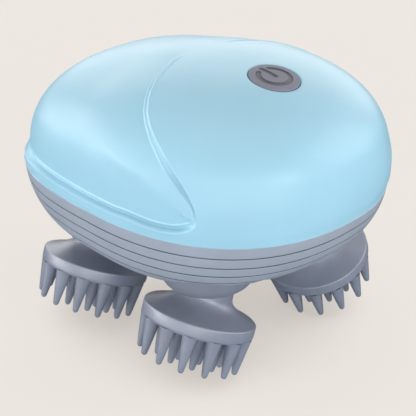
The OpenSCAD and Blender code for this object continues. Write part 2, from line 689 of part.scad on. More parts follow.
recess_r = neck_d / 2 + 0.8;
collar_edge = 2;
module collar(sx, sy) color(silicone_grey) at_head(sx, sy) difference() {
    r = collar_d / 2;
    rotate_extrude() union() {
        translate([0, -collar_drop + collar_edge]) square([r, collar_drop - collar_edge + collar_top]);
        translate([0, -collar_drop]) square([r - collar_edge, collar_edge + 1]);
        translate([r - collar_edge, -collar_drop + collar_edge]) circle(r = collar_edge, $fn = 32);
    }
    rod(recess_r, -30, seal_bottom - 0.6);
    rod(5, -30, seal_bottom + seal_h);
    rod(4, -30, 0);
}

module output_shaft(sx, sy) color(steel) at_head(sx, sy) difference() {
    rod(shaft_d / 2, shaft_end, plate_top - 0.2);
    rod(1, shaft_end - 1, shaft_end + 5);
}
module head_gear(sx, sy) color(acetal_white) at_seam() translate([sx * shaft_xy, sy * shaft_xy, 0])
    difference() {
        union() {
            gear_wheel(drive_module, head_teeth, 0, gear_bottom, gear_top);
            rod(4.2, gear_bottom, bush_bottom - 0.2);
        }
        rod(shaft_d / 2, gear_bottom - 1, 0);
    }

boss_r = 5;
hub_disc_r = 13;
hub_disc_low = 1.6;
hub_disc_t = 1.5;
// Outer form of the stiff hub inside a silicone head
module hub_form() {
    intersection() {
        rod(boss_r, -disc_drop - 6, hub_top);
        at_disc() translate([-30, -30, hub_disc_low]) cube([60, 60, 40]);
    }
    at_disc() rod(hub_disc_r, hub_disc_low, hub_disc_low + hub_disc_t);
}
module head_hub(sx, sy) color([0.8, 0.8, 0.8]) at_head(sx, sy) difference() {
    hub_form();
    rod(shaft_d / 2, shaft_end, 0);
    rod(1.1, shaft_end - 2, 0);
    rod(2.2, -disc_drop - 8, shaft_end - 1);
}
module hub_screw(sx, sy) color(steel) at_head(sx, sy)
    translate([0, 0, shaft_end - 1]) screw(1, 5.5, 2, screw_head_h);

module prong() rotate_extrude($fn = 24) polygon(concat(
    [[0, 0.8], [prong_base_d / 2 + 0.25, 0.8], [prong_base_d / 2 + 0.25, 0],
     [prong_base_d / 2 - 0.15, -1]],
    [for (a = [0 : 22.5 : 90]) [tip_r * cos(a), -(prong_l - tip_r) - tip_r * sin(a)]]));

module prong_ring(count, r) for (k = [0 : count - 1]) rotate(360 * k / count) translate([r, 0, 0])
    prong();

rim_edge = 0.6;
flare_r = head_d / 2 - rim_edge - neck_d / 2;
module massage_head(sx, sy) color(silicone_grey) at_head(sx, sy) difference() {
    union() {
        at_disc() {
            rotate_extrude() polygon(concat(
                [[0, 0], [head_d / 2 - rim_edge, 0], [head_d / 2, rim_edge],
                 [head_d / 2, rim_h - rim_edge]],
                [for (t = [0, 0.1, 0.22, 0.36, 0.52, 0.72, 1])
                    [neck_d / 2 + flare_r * pow(1 - t, 2.2), rim_h + neck_flare_h * t]],
                [[0, rim_h + neck_flare_h]]));
            prong_ring(outer_prongs, outer_ring_r);
            prong_ring(middle_prongs, middle_ring_r);
            prong_ring(inner_prongs, inner_ring_r);
        }
        intersection() {
            rod(neck_d / 2, -disc_drop - 6, hub_top);
            at_disc() translate([-30, -30, 1]) cube([60, 60, 40]);
        }
    }
    hub_form();
}

top_shell();
bottom_shell();
shell_gasket();
case_screws();
button_cap();
button_seal();
switch_plunger();
switch_body();
circuit_board();
board_screws();
gear_plate();
plate_screws();
sun_gear();
sun_axle();
idler_gear();
idler_axle();
motor_can();
motor_magnets();
motor_cap();
motor_armature();
motor_pinion();
motor_screws();
battery_cell();
battery_holder();
charging_socket();
socket_seal();
motor_wires();
battery_wires();
charging_wires();
lower_bushes();
upper_bushes();
shaft_seals();
collar(1, 1);  // collar_front_left
collar(1, -1);  // collar_front_right
collar(-1, 1);  // collar_rear_left
collar(-1, -1);  // collar_rear_right
output_shaft(1, 1);  // output_shaft_front_left
output_shaft(1, -1);  // output_shaft_front_right
output_shaft(-1, 1);  // output_shaft_rear_left
output_shaft(-1, -1);  // output_shaft_rear_right
head_gear(1, 1);  // head_gear_front_left
head_gear(1, -1);  // head_gear_front_right
head_gear(-1, 1);  // head_gear_rear_left
head_gear(-1, -1);  // head_gear_rear_right
head_hub(1, 1);  // head_hub_front_left
head_hub(1, -1);  // head_hub_front_right
head_hub(-1, 1);  // head_hub_rear_left
head_hub(-1, -1);  // head_hub_rear_right
hub_screw(1, 1);  // hub_screw_front_left
hub_screw(1, -1);  // hub_screw_front_right
hub_screw(-1, 1);  // hub_screw_rear_left
hub_screw(-1, -1);  // hub_screw_rear_right
massage_head(1, 1);  // massage_head_front_left
massage_head(1, -1);  // massage_head_front_right
massage_head(-1, 1);  // massage_head_rear_left
massage_head(-1, -1);  // massage_head_rear_right
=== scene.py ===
"""Looks of the electric scalp massager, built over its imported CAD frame.

Sizes are in millimetres, in the seam frame: x along the housing towards the button end, y to
the left and z up from the middle of the seam between the two shells. to_world() turns them
into metres in the row frame.
"""

import json
import math

import bmesh
import bpy
import numpy as np
from mathutils import Matrix, Vector
from mathutils.geometry import delaunay_2d_cdt
from mathutils.kdtree import KDTree


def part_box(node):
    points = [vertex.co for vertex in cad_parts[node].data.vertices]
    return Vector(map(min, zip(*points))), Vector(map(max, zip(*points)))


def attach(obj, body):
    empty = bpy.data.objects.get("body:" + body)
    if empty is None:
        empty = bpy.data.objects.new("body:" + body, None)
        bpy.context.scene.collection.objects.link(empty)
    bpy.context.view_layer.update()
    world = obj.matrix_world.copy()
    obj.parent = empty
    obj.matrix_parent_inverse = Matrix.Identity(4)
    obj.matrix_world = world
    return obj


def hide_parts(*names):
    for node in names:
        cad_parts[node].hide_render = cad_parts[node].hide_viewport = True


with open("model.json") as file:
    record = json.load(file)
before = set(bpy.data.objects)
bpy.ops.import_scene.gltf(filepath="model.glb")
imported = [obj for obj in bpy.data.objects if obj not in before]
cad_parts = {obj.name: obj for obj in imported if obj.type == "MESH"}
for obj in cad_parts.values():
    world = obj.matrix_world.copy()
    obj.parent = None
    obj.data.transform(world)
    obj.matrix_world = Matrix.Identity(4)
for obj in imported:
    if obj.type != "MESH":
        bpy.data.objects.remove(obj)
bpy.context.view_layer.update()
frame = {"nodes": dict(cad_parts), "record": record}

MM = 0.001
TURN = 2 * math.pi

# Housing
HALF_L, HALF_W = 58.0, 48.8
DOME_H, BOWL_D, WALL = 39.2, 20.85, 2.0
EXP_BUTTON, EXP_TAIL, EXP_TOP, EGG = 2.28, 3.0, 2.25, 0.042
DOME_ROUND, DOME_SQUARE, DOME_LEAN = 2.0, 3.72, 0.068
BOWL_ROUND, BOWL_SQUARE, BOWL_LEAN = 3.5, 1.53, 0.05
BASE_X, BASE_Y = 0.44, 0.634
GROOVE_PITCH, GROOVES = 3.75, 4
EDGE = 0.12                     # bevel of the shells at the seam
FLANGE, FLANGE_H = 5.0, 3.0     # width and thickness of the shells' rim, seen from inside

# Button
BUTTON_X, CAP_R, CAP_GAP, CAP_PROUD, CAP_CROWN = 27.8, 7.85, 0.13, 0.75, 60.0

# Massage heads
HEAD_R, RIM_H, TILT = 17.7, 4.3, math.radians(22)
PIVOT_ARM, DISC_DROP, NECK_R, FLARE_H = 12.9, 36.4, 8.5, 6.2
PRONGS = ((13, 15.2), (9, 10.0), (4, 4.6))
PRONG_L, TIP_R = 11.6, 0.95
COLLAR_R, COLLAR_TOP, COLLAR_LOW, COLLAR_EDGE = 14.9, -14.6, -22.3, (3.4, 5.4)
RECESS_R, RECESS_TOP = 9.3, -20.6
CORNERS = {"front_left": (1, 1), "front_right": (1, -1),      # side of each head in x and y
           "rear_left": (-1, 1), "rear_right": (-1, -1)}

SHELL_LOW, SHELL_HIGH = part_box("bottom_shell")
SEAM = Vector((SHELL_LOW.x + HALF_L * MM, 0, SHELL_HIGH.z))


def to_world(points):
    return np.asarray(points, float) * MM + np.array(SEAM)


def shaft_xy(corner):
    low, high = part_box(f"output_shaft_{corner}")
    middle = ((low + high) / 2 - SEAM) / MM
    return middle.x, middle.y


# ---------- Surfaces of the housing ----------
def spow(v, e):
    return np.sign(v) * np.abs(v) ** e


def plan_exp(x, z=0.0):
    """Squareness of the plan, which grows rounder from the seam to the top of the dome."""
    n = np.where(x >= 0, EXP_BUTTON, EXP_TAIL)
    return n + (EXP_TOP - n) * z / DOME_H


def outline(t, inset=0.0, share_x=1.0, share_y=1.0):
    """Plan outline of the housing at angles t, inset from the seam and scaled in x and y."""
    n = plan_exp(np.cos(t))
    u, v = spow(np.cos(t), 2 / n), spow(np.sin(t), 2 / n)
    return (HALF_L - inset) * share_x * u, (HALF_W - inset) * share_y * v * (1 + EGG * u)


def plan_share(x, y, z=0.0):
    """How far out in plan a point lies: 0 in the middle and 1 on the outline."""
    n = plan_exp(x, z)
    share = np.ones_like(x)
    for _ in range(4):
        egg = 1 + EGG * np.clip(x / (HALF_L * np.maximum(share, 1e-6)), -1, 1)
        share = (np.abs(x / HALF_L) ** n + np.abs(y / (HALF_W * egg)) ** n) ** (1 / n)
    return share


def dome_tables():
    """Plan share, height and share of the way over the dome's surface, from the seam to the top."""
    w = np.pi / 2 * np.linspace(0, 1, 3001) ** 2.2     # closer near the seam
    share, height = np.cos(w) ** (2 / DOME_ROUND), DOME_H * np.sin(w) ** (2 / DOME_SQUARE)
    mean_r = (HALF_L + HALF_W) / 2
    arc = np.concatenate([[0], np.cumsum(np.hypot(mean_r * np.diff(share), np.diff(height)))])
    return share, height, 1 - arc / arc[-1], arc[-1]


SHARE, HEIGHT, WAY, DOME_ARC = dome_tables()


def onto_plan(u, v, n):
    """The direction u, v with its length set so that it ends on a plan of squareness n."""
    length = (np.abs(u) ** n + np.abs(v) ** n) ** (-1 / n)
    return u * length, v * length


def dome_point(chart):
    """Surface points for points of the chart, which is the dome rolled out flat on its outline."""
    a, b = chart[:, 0], chart[:, 1]
    way = np.clip(plan_share(a, b), 1e-9, 1)
    share = np.interp(way, WAY[::-1], SHARE[::-1])
    z = np.interp(way, WAY[::-1], HEIGHT[::-1])
    u, v = a / (HALF_L * way), b / (HALF_W * way * (1 + EGG * a / (HALF_L * way)))
    u, v = onto_plan(u, v, plan_exp(a, z))
    return np.stack([HALF_L * share * u + DOME_LEAN * z, HALF_W * share * v * (1 + EGG * u), z], 1)


def chart_of(x, y):
    """Chart point over the place x, y on the upper dome."""
    z = np.full_like(x, DOME_H * 0.9)
    for _ in range(10):
        share = np.maximum(plan_share(x - DOME_LEAN * z, y, z), 1e-9)
        z = np.interp(share, SHARE[::-1], HEIGHT[::-1])
    way = np.interp(share, SHARE[::-1], WAY[::-1])
    u = (x - DOME_LEAN * z) / (HALF_L * share)
    u, v = onto_plan(u, y / (HALF_W * share * (1 + EGG * u)), plan_exp(u))
    return np.stack([HALF_L * way * u, HALF_W * way * v * (1 + EGG * u)], 1)


def dome_z(x):
    """Height of the dome over its middle line."""
    return float(dome_point(chart_of(np.array([x]), np.array([0.0])))[0, 2])


def unit(v):
    return v / np.maximum(np.linalg.norm(v, axis=-1, keepdims=True), 1e-12)


BUTTON_LEAN = math.atan((dome_z(BUTTON_X - 1) - dome_z(BUTTON_X + 1)) / 2)
BUTTON_AT = np.array([BUTTON_X, 0.0, dome_z(BUTTON_X)])
BUTTON_OUT = np.array([math.sin(BUTTON_LEAN), 0.0, math.cos(BUTTON_LEAN)])
BUTTON_SIDE = np.array([math.cos(BUTTON_LEAN), 0.0, -math.sin(BUTTON_LEAN)])


def from_button(r, t, h):
    """Points at radius r, angle t and height h about the button's axis."""
    r, t, h = np.broadcast_arrays(np.asarray(r, float), t, h)
    side = r * np.cos(t)
    return (BUTTON_AT + side[..., None] * BUTTON_SIDE + h[..., None] * BUTTON_OUT
            + (r * np.sin(t))[..., None] * np.array([0.0, 1.0, 0.0]))


# ---------- Mesh helpers ----------
def add_mesh(name, points, faces, body, materials, parts=None, smooth_deg=40, tones=None):
    """A new piece that rides on a body, with the material of each face and the painted light and shade of
    each point.
    """
    mesh = bpy.data.meshes.new(name)
    mesh.from_pydata(to_world(points).tolist(), [], [tuple(int(i) for i in f) for f in faces])
    for material in materials:
        mesh.materials.append(material)
    if parts is not None:
        mesh.polygons.foreach_set("material_index", np.asarray(parts, np.int32))
    if tones is not None:
        # painted highlight and shade, kept on the mesh's points
        painted_light_and_shade = mesh.attributes.new("edge_painted_light_and_shade", "FLOAT", "POINT")
        painted_light_and_shade.data.foreach_set("value", np.asarray(tones, np.float32))
    mesh.validate()
    mesh.polygons.foreach_set("use_smooth", [True] * len(mesh.polygons))
    mesh.set_sharp_from_angle(angle=math.radians(smooth_deg))
    piece = bpy.data.objects.new(name, mesh)
    bpy.context.scene.collection.objects.link(piece)
    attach(piece, body)
    return piece


def strip_faces(rows, n, start=0):
    """Quads between closed rows of n points each."""
    faces = []
    for i in range(rows - 1):
        for j in range(n):
            a, b = start + i * n + j, start + i * n + (j + 1) % n
            faces.append((a, b, b + n, a + n))
    return faces


def fan_faces(pole, ring, n, flip=False):
    faces = [(pole, ring + j, ring + (j + 1) % n) for j in range(n)]
    return [f[::-1] for f in faces] if flip else faces


def lathe(profile, n):
    """Points and quads of a profile of (radius, height) turned about the z axis, ends closed."""
    t = TURN * np.arange(n) / n
    points = [[r * c, r * s, z] for r, z in profile for c, s in zip(np.cos(t), np.sin(t))]
    faces = strip_faces(len(profile), n)
    for end, flip in ((0, True), (len(profile) - 1, False)):
        points.append([0, 0, profile[end][1]])
        faces += fan_faces(len(points) - 1, end * n, n, flip)
    return np.array(points, float), faces


def arc_profile(r, z, radius, start, stop, steps):
    """Points of an arc about (r, z), with angles in degrees."""
    angles = np.radians(np.linspace(start, stop, steps))
    return [(r + radius * math.cos(a), z + radius * math.sin(a)) for a in angles]


def smoothstep(x):
    x = np.clip(x, 0, 1)
    return x * x * (3 - 2 * x)


def ramp(value, start, end):
    """Smooth step from 0, where the value is start, to 1, where it is end."""
    return smoothstep((value - start) / (end - start))


def bump(value, middle, width):
    """Bell that is 1 where the value is the middle."""
    return np.exp(-((value - middle) / width) ** 2)


def tree_of(points):
    tree = KDTree(len(points))
    for i, p in enumerate(points):
        tree.insert(p, i)
    tree.balance()
    return tree


def smooth_line(points, steps):
    """Catmull-Rom line through open control points."""
    p = np.asarray(points, float)
    p = np.vstack([2 * p[0] - p[1], p, 2 * p[-1] - p[-2]])
    t = np.linspace(0, 1, steps, endpoint=False)[:, None]
    out = []
    for i in range(1, len(p) - 2):
        p0, p1, p2, p3 = p[i - 1:i + 3]
        out.append(0.5 * (2 * p1 + (p2 - p0) * t + (2 * p0 - 5 * p1 + 4 * p2 - p3) * t ** 2
                          + (3 * p1 - p0 - 3 * p2 + p3) * t ** 3))
    return np.vstack(out + [p[-2:-1]])


def even_steps(line, step):
    """The same closed line with points a step apart."""
    line = np.vstack([line, line[:1]])
    length = np.concatenate([[0], np.cumsum(np.linalg.norm(np.diff(line, axis=0), axis=1))])
    at = np.linspace(0, length[-1], int(round(length[-1] / step)), endpoint=False)
    return np.stack([np.interp(at, length, line[:, k]) for k in (0, 1)], 1)


# ---------- Top shell ----------
# Left half of the petal-shaped line in the chart, from the top of the dome down past its tip
PETAL_TOP = ((-4.4, 0), (-3.5, 6.6), (-0.7, 15.0), (1.55, 19.35), (4.4, 23.4), (7.4, 26.35),
             (11.3, 29.0), (15.3, 31.0), (19.6, 32.9), (24.0, 34.3), (27.5, 35.25), (30.2, 36.2),
             (31.7, 37.15), (32.15, 38.3), (31.5, 39.5), (29.7, 41.2), (27.0, 42.7), (23.0, 44.05),
             (18.3, 44.95), (13.2, 45.5))
PETAL_LOW = 0.943                  # way over the dome of the line's lower branch
LOW_POINTS, LOW_GAP = 60, 4        # its points, and how many are left out for an even join
PETAL_STEP = 0.45                  # distance between the line's points
PETAL_NEAR = 4                     # nearer than this, the distance to the line is measured exactly

# Where the line's edge changes; each pair is the start and end of a ramp
LOW_FROM = (8.5, 5.0)              # height: from the upper to the lower branch
TAIL_FROM = (-30, -50)             # x: from the lower branch to the tail
DOWN_FROM = (27, 17)               # height: the upper branch on its way down to the tip
WIDE_FROM, WIDE_TO, WIDE_LOSS = (32, 21), (18, 12), 0.7     # height: wider, then less wide again
SHOWN_FROM = (5, 14)               # distance from the middle: the edge comes up beside the crown
PAINTED_SHADE_FROM = (-20, 15)             # x: the painted shade in the lower branch's channel grows darker

EDGE_HALF = (0.6, 0.92, 1.9)       # half width of the petal's edge: upper and lower branch, tail
EDGE_WIDER = 0.6                   # how much wider the upper branch gets on its way down
WALL_HALF = (0.38, 1.9)            # half width of the edge's sloping wall: lower branch, tail
WALL_IN = 0.3                      # on the lower branch, how far the wall lies inside the edge's outer line
WALL_ROUND = 0.12                  # rounding of the wall's two corners
PETAL_TIP = (35.5, 42.2, 6.6)      # where the edge's tip gets a painted highlight and a shallower channel
TIP_WIDE, TIP_SHARE = 3.2, 0.7     # size of that place, and how far it fills the channel
PANEL_STEP = (0.45, 1.2, 0.1)      # step down into the petal: upper and lower branch, tail
PANEL_FADE = 17.0                  # distance over which the sunken panel rises back to the dome
LIP, LIP_WIDE = 0.24, 0.26         # bead along the edge
LIP_SHARE = (0.2, 1.0, 0.3)        # its share near the tip, on the lower branch and at the tail
CHANNEL = (0.42, 0.28)             # depth of the channel between the beads: near the tip, lower branch
CHANNEL_IN, CHANNEL_WALL = 0.6, 0.5
ROLL, ROLL_WIDE = 0.4, 4.0         # the panel rolls down before its lower edge
FADE_POWER = 1.5
PAINTED_BEAD_HIGHLIGHT, PAINTED_TIP_HIGHLIGHT, PAINTED_CHANNEL_SHADE = 0.2, 0.1, 0.17   # painted highlight on the beads and the tip, painted shade in the channel

# Low flats, fullness and the band, over the plain dome; a is the chart's x and way is 1 at the seam
BACK_FLAT, BACK_FROM = 0.65, (2, -26)                     # the rear lies lower
CROWN_FLAT, CROWN_AT, CROWN_WIDE = 1.12, -15, (12, 7.5)   # so does the crown behind the button
TAIL_FLAT, TAIL_FLAT_FROM = 0.3, (-30, -38)
NOSE_FLAT, NOSE_FROM = 0.5, (14, 34)
FLAT_TOP, FLAT_SIDE, FLAT_LOSS = (0, 0.5), (0.6, 0.93), 0.7
FRONT_LIFT, LIFT_FROM, LIFT_WAY = 0.35, (-6, 3), (0.42, 0.62)  # the dome stands higher about the button
SASH_PROUD = (0.1, 0.35, 0.7)      # how far the band below the petal stands out: front, sides, tail
SASH_SIDE, SASH_TAIL = (10, -20), (-30, -42)
SASH_LOW, SASH_HIGH, SASH_END = (0, 1.4), (13, 7), (31, 9)
CHEEK = 0.8                        # fullness of the dome above the seam at the button end
CHEEK_FROM, CHEEK_LOW, CHEEK_HIGH = (-5, 35), (0, 4), (17, 8)


def petal_line():
    """The whole petal line in the chart, closed, with even steps."""
    last = PETAL_TOP[-1]
    t = np.linspace(math.atan2(last[1] / HALF_W, last[0] / HALF_L), math.pi, LOW_POINTS)[LOW_GAP:]
    low = np.stack(outline(t), 1) * PETAL_LOW
    half = np.vstack([smooth_line(PETAL_TOP, 8), low[:-1]])
    other = half[1:][::-1] * [1, -1]
    return even_steps(np.vstack([half, low[-1:], other]), PETAL_STEP)


def petal_foot(points, line, chart):
    """Distance of surface points from the petal line, negative inside it, and its nearest points."""
    solid = dome_point(line)
    tree = tree_of(solid)
    n = len(line)
    signed, foot = np.zeros(len(points)), np.zeros((len(points), 3))
    for k, p in enumerate(points):
        _, i, d = tree.find(p)
        if d < PETAL_NEAR:     # the line's straight pieces count, not only its points
            for j, m in (((i - 1) % n, i), (i, (i + 1) % n)):
                seg = solid[m] - solid[j]
                f = np.clip(np.dot(p - solid[j], seg) / np.dot(seg, seg), 0, 1)
                d = min(d, float(np.linalg.norm(p - solid[j] - f * seg)))
        ahead, here = line[(i + 1) % n] - line[(i - 1) % n], chart[k] - line[i]
        signed[k] = -d if ahead[0] * here[1] - ahead[1] * here[0] > 0 else d
        foot[k] = solid[i]
    return signed, foot


def petal_edge(signed, foot):
    """Height of the petal's edge, its painted highlights and painted shade, and how far each point counts
    as inside the petal.
    """
    distance, x, z = np.abs(signed), foot[:, 0], foot[:, 2]
    low, tail, down = ramp(z, *LOW_FROM), ramp(x, *TAIL_FROM), ramp(z, *DOWN_FROM)

    def along(upper, lower, end):
        """Value by place along the line: upper branch, lower branch and tail end."""
        return upper + (lower - upper) * low + (end - lower) * tail * low

    wider = ramp(z, *WIDE_FROM) - WIDE_LOSS * ramp(z, *WIDE_TO)
    half = along(EDGE_HALF[0] + EDGE_WIDER * wider, *EDGE_HALF[1:])
    wall = np.where(low > 0, along(1.0, *WALL_HALF), half)
    reach, soft = (signed - along(0, half - WALL_IN, 0)) / wall, WALL_ROUND / wall
    inside = 0.5 - 0.25 * (np.hypot(reach + 1, soft) - np.hypot(reach - 1, soft))
    into = np.maximum(0, -signed - half)
    shown = ramp(np.abs(foot[:, 1]), *SHOWN_FROM)
    step = along(*PANEL_STEP) * inside * np.exp(-(into / PANEL_FADE) ** FADE_POWER)
    roll = ROLL * low * inside * np.exp(-(into / ROLL_WIDE) ** FADE_POWER)
    near_tip, on_low, at_tail = LIP_SHARE
    bead = along(1 + (near_tip - 1) * down, on_low, at_tail) * bump(distance, half, LIP_WIDE) * shown
    hollow = (1 - smoothstep((distance - half + CHANNEL_IN) / CHANNEL_WALL)) * shown
    tip = np.exp(-(np.linalg.norm(np.abs(foot) - PETAL_TIP, axis=1) / TIP_WIDE) ** 2)
    channel = along(CHANNEL[0] * down, CHANNEL[1], 0.0) * hollow * (1 - TIP_SHARE * tip)
    # painted shade in the channel, painted highlight on the beads and the tip
    painted_channel_shade = along(down, ramp(x, *PAINTED_SHADE_FROM), 0.0)
    painted_light_and_shade = PAINTED_BEAD_HIGHLIGHT * bead + (PAINTED_TIP_HIGHLIGHT * tip - PAINTED_CHANNEL_SHADE * painted_channel_shade * (1 - tip)) * hollow
    return LIP * bead - channel - step * shown - roll, painted_light_and_shade, inside


def dome_trim(a, z, way, inside):
    """Height of the flats, the lift about the button, the band below the petal and the cheeks."""
    flat = BACK_FLAT * ramp(a, *BACK_FROM)
    flat = flat + CROWN_FLAT * bump(a, CROWN_AT, np.where(a < CROWN_AT, *CROWN_WIDE))
    flat = flat + TAIL_FLAT * ramp(a, *TAIL_FLAT_FROM) + NOSE_FLAT * ramp(a, *NOSE_FROM)
    flat = flat * ramp(way, *FLAT_TOP) * (1 - FLAT_LOSS * ramp(way, *FLAT_SIDE))
    lift = FRONT_LIFT * ramp(a, *LIFT_FROM) * (1 - ramp(way, *LIFT_WAY))
    front, middle, end = SASH_PROUD
    sash = front + (middle - front) * ramp(a, *SASH_SIDE) + (end - middle) * ramp(a, *SASH_TAIL)
    sash = sash * ramp(z, *SASH_LOW) * ramp(a, *SASH_END) * ramp(z, *SASH_HIGH)
    cheek = CHEEK * ramp(a, *CHEEK_FROM) * ramp(z, *CHEEK_LOW) * ramp(z, *CHEEK_HIGH)
    return lift - flat + (1 - inside) * sash + cheek


def dome_surface(chart, line):
    """Points of the dressed dome for points of the chart, and their painted highlight and shade."""
    base = dome_point(chart)
    along = dome_point(chart + [SLOPE_STEP, 0]) - dome_point(chart - [SLOPE_STEP, 0])
    across = dome_point(chart + [0, SLOPE_STEP]) - dome_point(chart - [0, SLOPE_STEP])
    out = unit(np.cross(along, across))
    edge, painted_light_and_shade, inside = petal_edge(*petal_foot(base, line, chart))
    way = plan_share(chart[:, 0], chart[:, 1])
    relief = edge + dome_trim(chart[:, 0], base[:, 2], way, inside)
    return base + out * relief[:, None], painted_light_and_shade


# Distances of the rows of mesh points that follow the petal line on both sides
ROW_AT = (0.06, 0.18, 0.3, 0.42, 0.54, 0.64, 0.74, 0.84, 0.95, 1.06, 1.17, 1.28, 1.4, 1.6, 1.85, 2.2, 2.6)
ROW_WAY, ROW_SLACK = 0.984, 0.05   # way over the dome at which these rows end
GRID_STEP, GRID_WAY = 1.5, 0.977   # the rest of the dome is a grid of triangles
GRID_CLEAR, GRID_CLEAR_HOLE = 3.1, 9.6
TRIANGLE = 0.866                   # height of an even triangle of side 1
RIM_N, RIM_WAYS = 420, (1 - EDGE / DOME_ARC, 0.9955, 0.990)
SLOPE_STEP = 0.05                  # half the distance over which the dome's slope is taken
HOLE_N, HOLE_R, HOLE_LIP, HOLE_WALL = 160, CAP_R + CAP_GAP, 0.45, 2.4
HOLE_NEAR = 3                      # height about the hole's edge within which that edge is rounded
HOLE_RINGS = (0.0, 0.02, 0.07, 0.15, 0.26, HOLE_LIP, 0.75, 1.2, 2.0, 3.2)


def hole_rings():
    """Rings in the chart round the button's hole, the first one on its edge."""
    t = TURN * np.arange(HOLE_N) / HOLE_N
    rings = []
    for out in HOLE_RINGS:
        ring = from_button(HOLE_R + out, t, 0.0)
        for _ in range(2):
            on = dome_point(chart_of(ring[:, 0], ring[:, 1]))
            ring = ring + ((on - ring) @ BUTTON_OUT)[:, None] * BUTTON_OUT
        rings.append(chart_of(ring[:, 0], ring[:, 1]))
    return rings


def nearest(tree, points):
    return np.array([tree.find((p[0], p[1], 0))[2] for p in points])


def line_rows(line, tree):
    """Rows beside the petal line, without points that come nearer to another stretch of it."""
    ahead = np.roll(line, -1, 0) - np.roll(line, 1, 0)
    aside = unit(np.stack([ahead[:, 1], -ahead[:, 0]], 1))
    rows = []
    for away in [-d for d in ROW_AT[::-1]] + list(ROW_AT[:-1]):
        row = line + aside * away
        keep = (nearest(tree, row) > abs(away) - ROW_SLACK) & (plan_share(row[:, 0], row[:, 1]) < ROW_WAY)
        rows.append(row[keep])
    return rows


def open_grid(tree, hole):
    """Grid of triangle corners over the chart, clear of the petal line, the seam and the hole."""
    gx, gy = np.meshgrid(np.arange(-HALF_L, HALF_L, GRID_STEP),
                         np.arange(-HALF_W, HALF_W, GRID_STEP * TRIANGLE))
    gx = gx + (np.arange(gx.shape[0]) % 2)[:, None] * GRID_STEP / 2
    grid = np.stack([gx.ravel(), gy.ravel()], 1)
    grid = grid[plan_share(grid[:, 0], grid[:, 1]) < GRID_WAY]
    clear = nearest(tree, grid) > GRID_CLEAR
    clear &= np.linalg.norm(grid - np.mean(hole, 0), axis=1) > GRID_CLEAR_HOLE
    return grid[clear]


def round_hole(skin):
    """Rounds the dome's edge at the button's hole."""
    reach = skin - BUTTON_AT
    up = reach @ BUTTON_OUT
    radial = np.linalg.norm(reach - up[:, None] * BUTTON_OUT, axis=1) - HOLE_R
    drop = HOLE_LIP - np.sqrt(np.clip(HOLE_LIP ** 2 - (HOLE_LIP - radial) ** 2, 0, None))
    drop = np.where((np.abs(up) < HOLE_NEAR) & (radial < HOLE_LIP), drop, 0)
    return skin - drop[:, None] * BUTTON_OUT


def loop_faces(outer, inner):
    """Quads between two loops of as many points, given as indices."""
    n = len(outer)
    return [(outer[j], inner[j], inner[(j + 1) % n], outer[(j + 1) % n]) for j in range(n)]


def make_top_shell(materials):
    line = petal_line()
    tree = tree_of([(x, y, 0) for x, y in line])
    t = TURN * np.arange(RIM_N) / RIM_N
    rims = [np.stack(outline(t), 1) * way for way in RIM_WAYS]
    holes = hole_rings()
    flat = np.vstack(rims[:1] + holes[:1] + rims[1:] + holes[1:] + line_rows(line, tree)
                     + [open_grid(tree, holes[0])])
    found = delaunay_2d_cdt([Vector(p) for p in flat], [], [], 0, 1e-5)
    source = [min(o) if o else len(flat) for o in found[3]]
    edge_ids = {i for i, s in enumerate(source) if s < RIM_N}
    hole_ids = {i for i, s in enumerate(source) if RIM_N <= s < RIM_N + HOLE_N}
    faces = [f for f in found[2] if not (set(f) <= edge_ids or set(f) <= hole_ids)]
    skin, painted_light_and_shade = dome_surface(np.array([tuple(v) for v in found[0]]), line)
    skin = round_hole(skin)

    # rim below the bevel, and the wall of the button's hole
    order = {s: i for i, s in enumerate(source)}
    rim = [order[j] for j in range(RIM_N)]
    hole = [order[RIM_N + j] for j in range(HOLE_N)]
    points = list(skin)
    for inset, z in ((EDGE, 0.0), (FLANGE, 0.0), (FLANGE, FLANGE_H)):
        x, y = outline(t, inset)
        ring = [len(points) + j for j in range(RIM_N)]
        points += list(np.stack([x, y, np.full(RIM_N, z)], 1))
        faces += loop_faces(rim, ring)
        rim = ring
    wall = from_button(HOLE_R, TURN * np.arange(HOLE_N) / HOLE_N, 0.0)
    ring = [len(points) + j for j in range(HOLE_N)]
    points += list(wall - HOLE_WALL * BUTTON_OUT)
    faces += [(a, d, c, b) for a, b, c, d in loop_faces(hole, ring)]
    # painted highlight and shade of the petal's edge; none on the rim and the hole's wall
    tones = np.concatenate([painted_light_and_shade, np.zeros(len(points) - len(painted_light_and_shade))])
    piece = add_mesh("dome", np.array(points), faces, "housing", materials, tones=tones)
    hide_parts("top_shell")


# ---------- Bottom shell ----------
# Half of a groove: distance from its middle and depth
GROOVE_HALF = ((0.06, 0.48), (0.15, 0.4), (0.17, 0.12), (0.2, 0.03), (0.26, 0.0), (0.45, 0.0))
BOWL_N, BOWL_TOP_ROWS, BETWEEN_GROOVES = 360, (-0.7, -1.6, -2.5), (0.3, 0.5, 0.7)
BOWL_ROUND_FROM, BOWL_ROUND_ROWS = 0.82, 16   # share of the depth below which the rows follow the round
BASE_RINGS = (0.85, 0.65, 0.42, 0.2)
INNER_ROWS = (0.9999, 0.97, 0.9, 0.8, 0.68, 0.55, 0.4, 0.25, 0.16)
GROOVE_SHADE_DEPTH = 0.1                  # faces deeper than this get the grooves' painted shade
COLLAR_SEAT, SCREW_SEAT_R, SCREW_HEAD_R = COLLAR_R + 0.12, 2.8, 2.6
SEAT_Z, SEAT_L = -20, 24           # middle and length of the cylinders that cut these seats
SOCKET_HOLE_R, SOCKET_HOLE_L = 3.7, 12
BOWL_SMOOTH = 35


def bowl_share(z, depth=BOWL_D):
    """How far out the bowl's wall lies at the height z, from its flat base to the seam."""
    return np.maximum(0.0, 1 - np.minimum(1.0, -z / depth) ** BOWL_SQUARE) ** (1 / BOWL_ROUND)


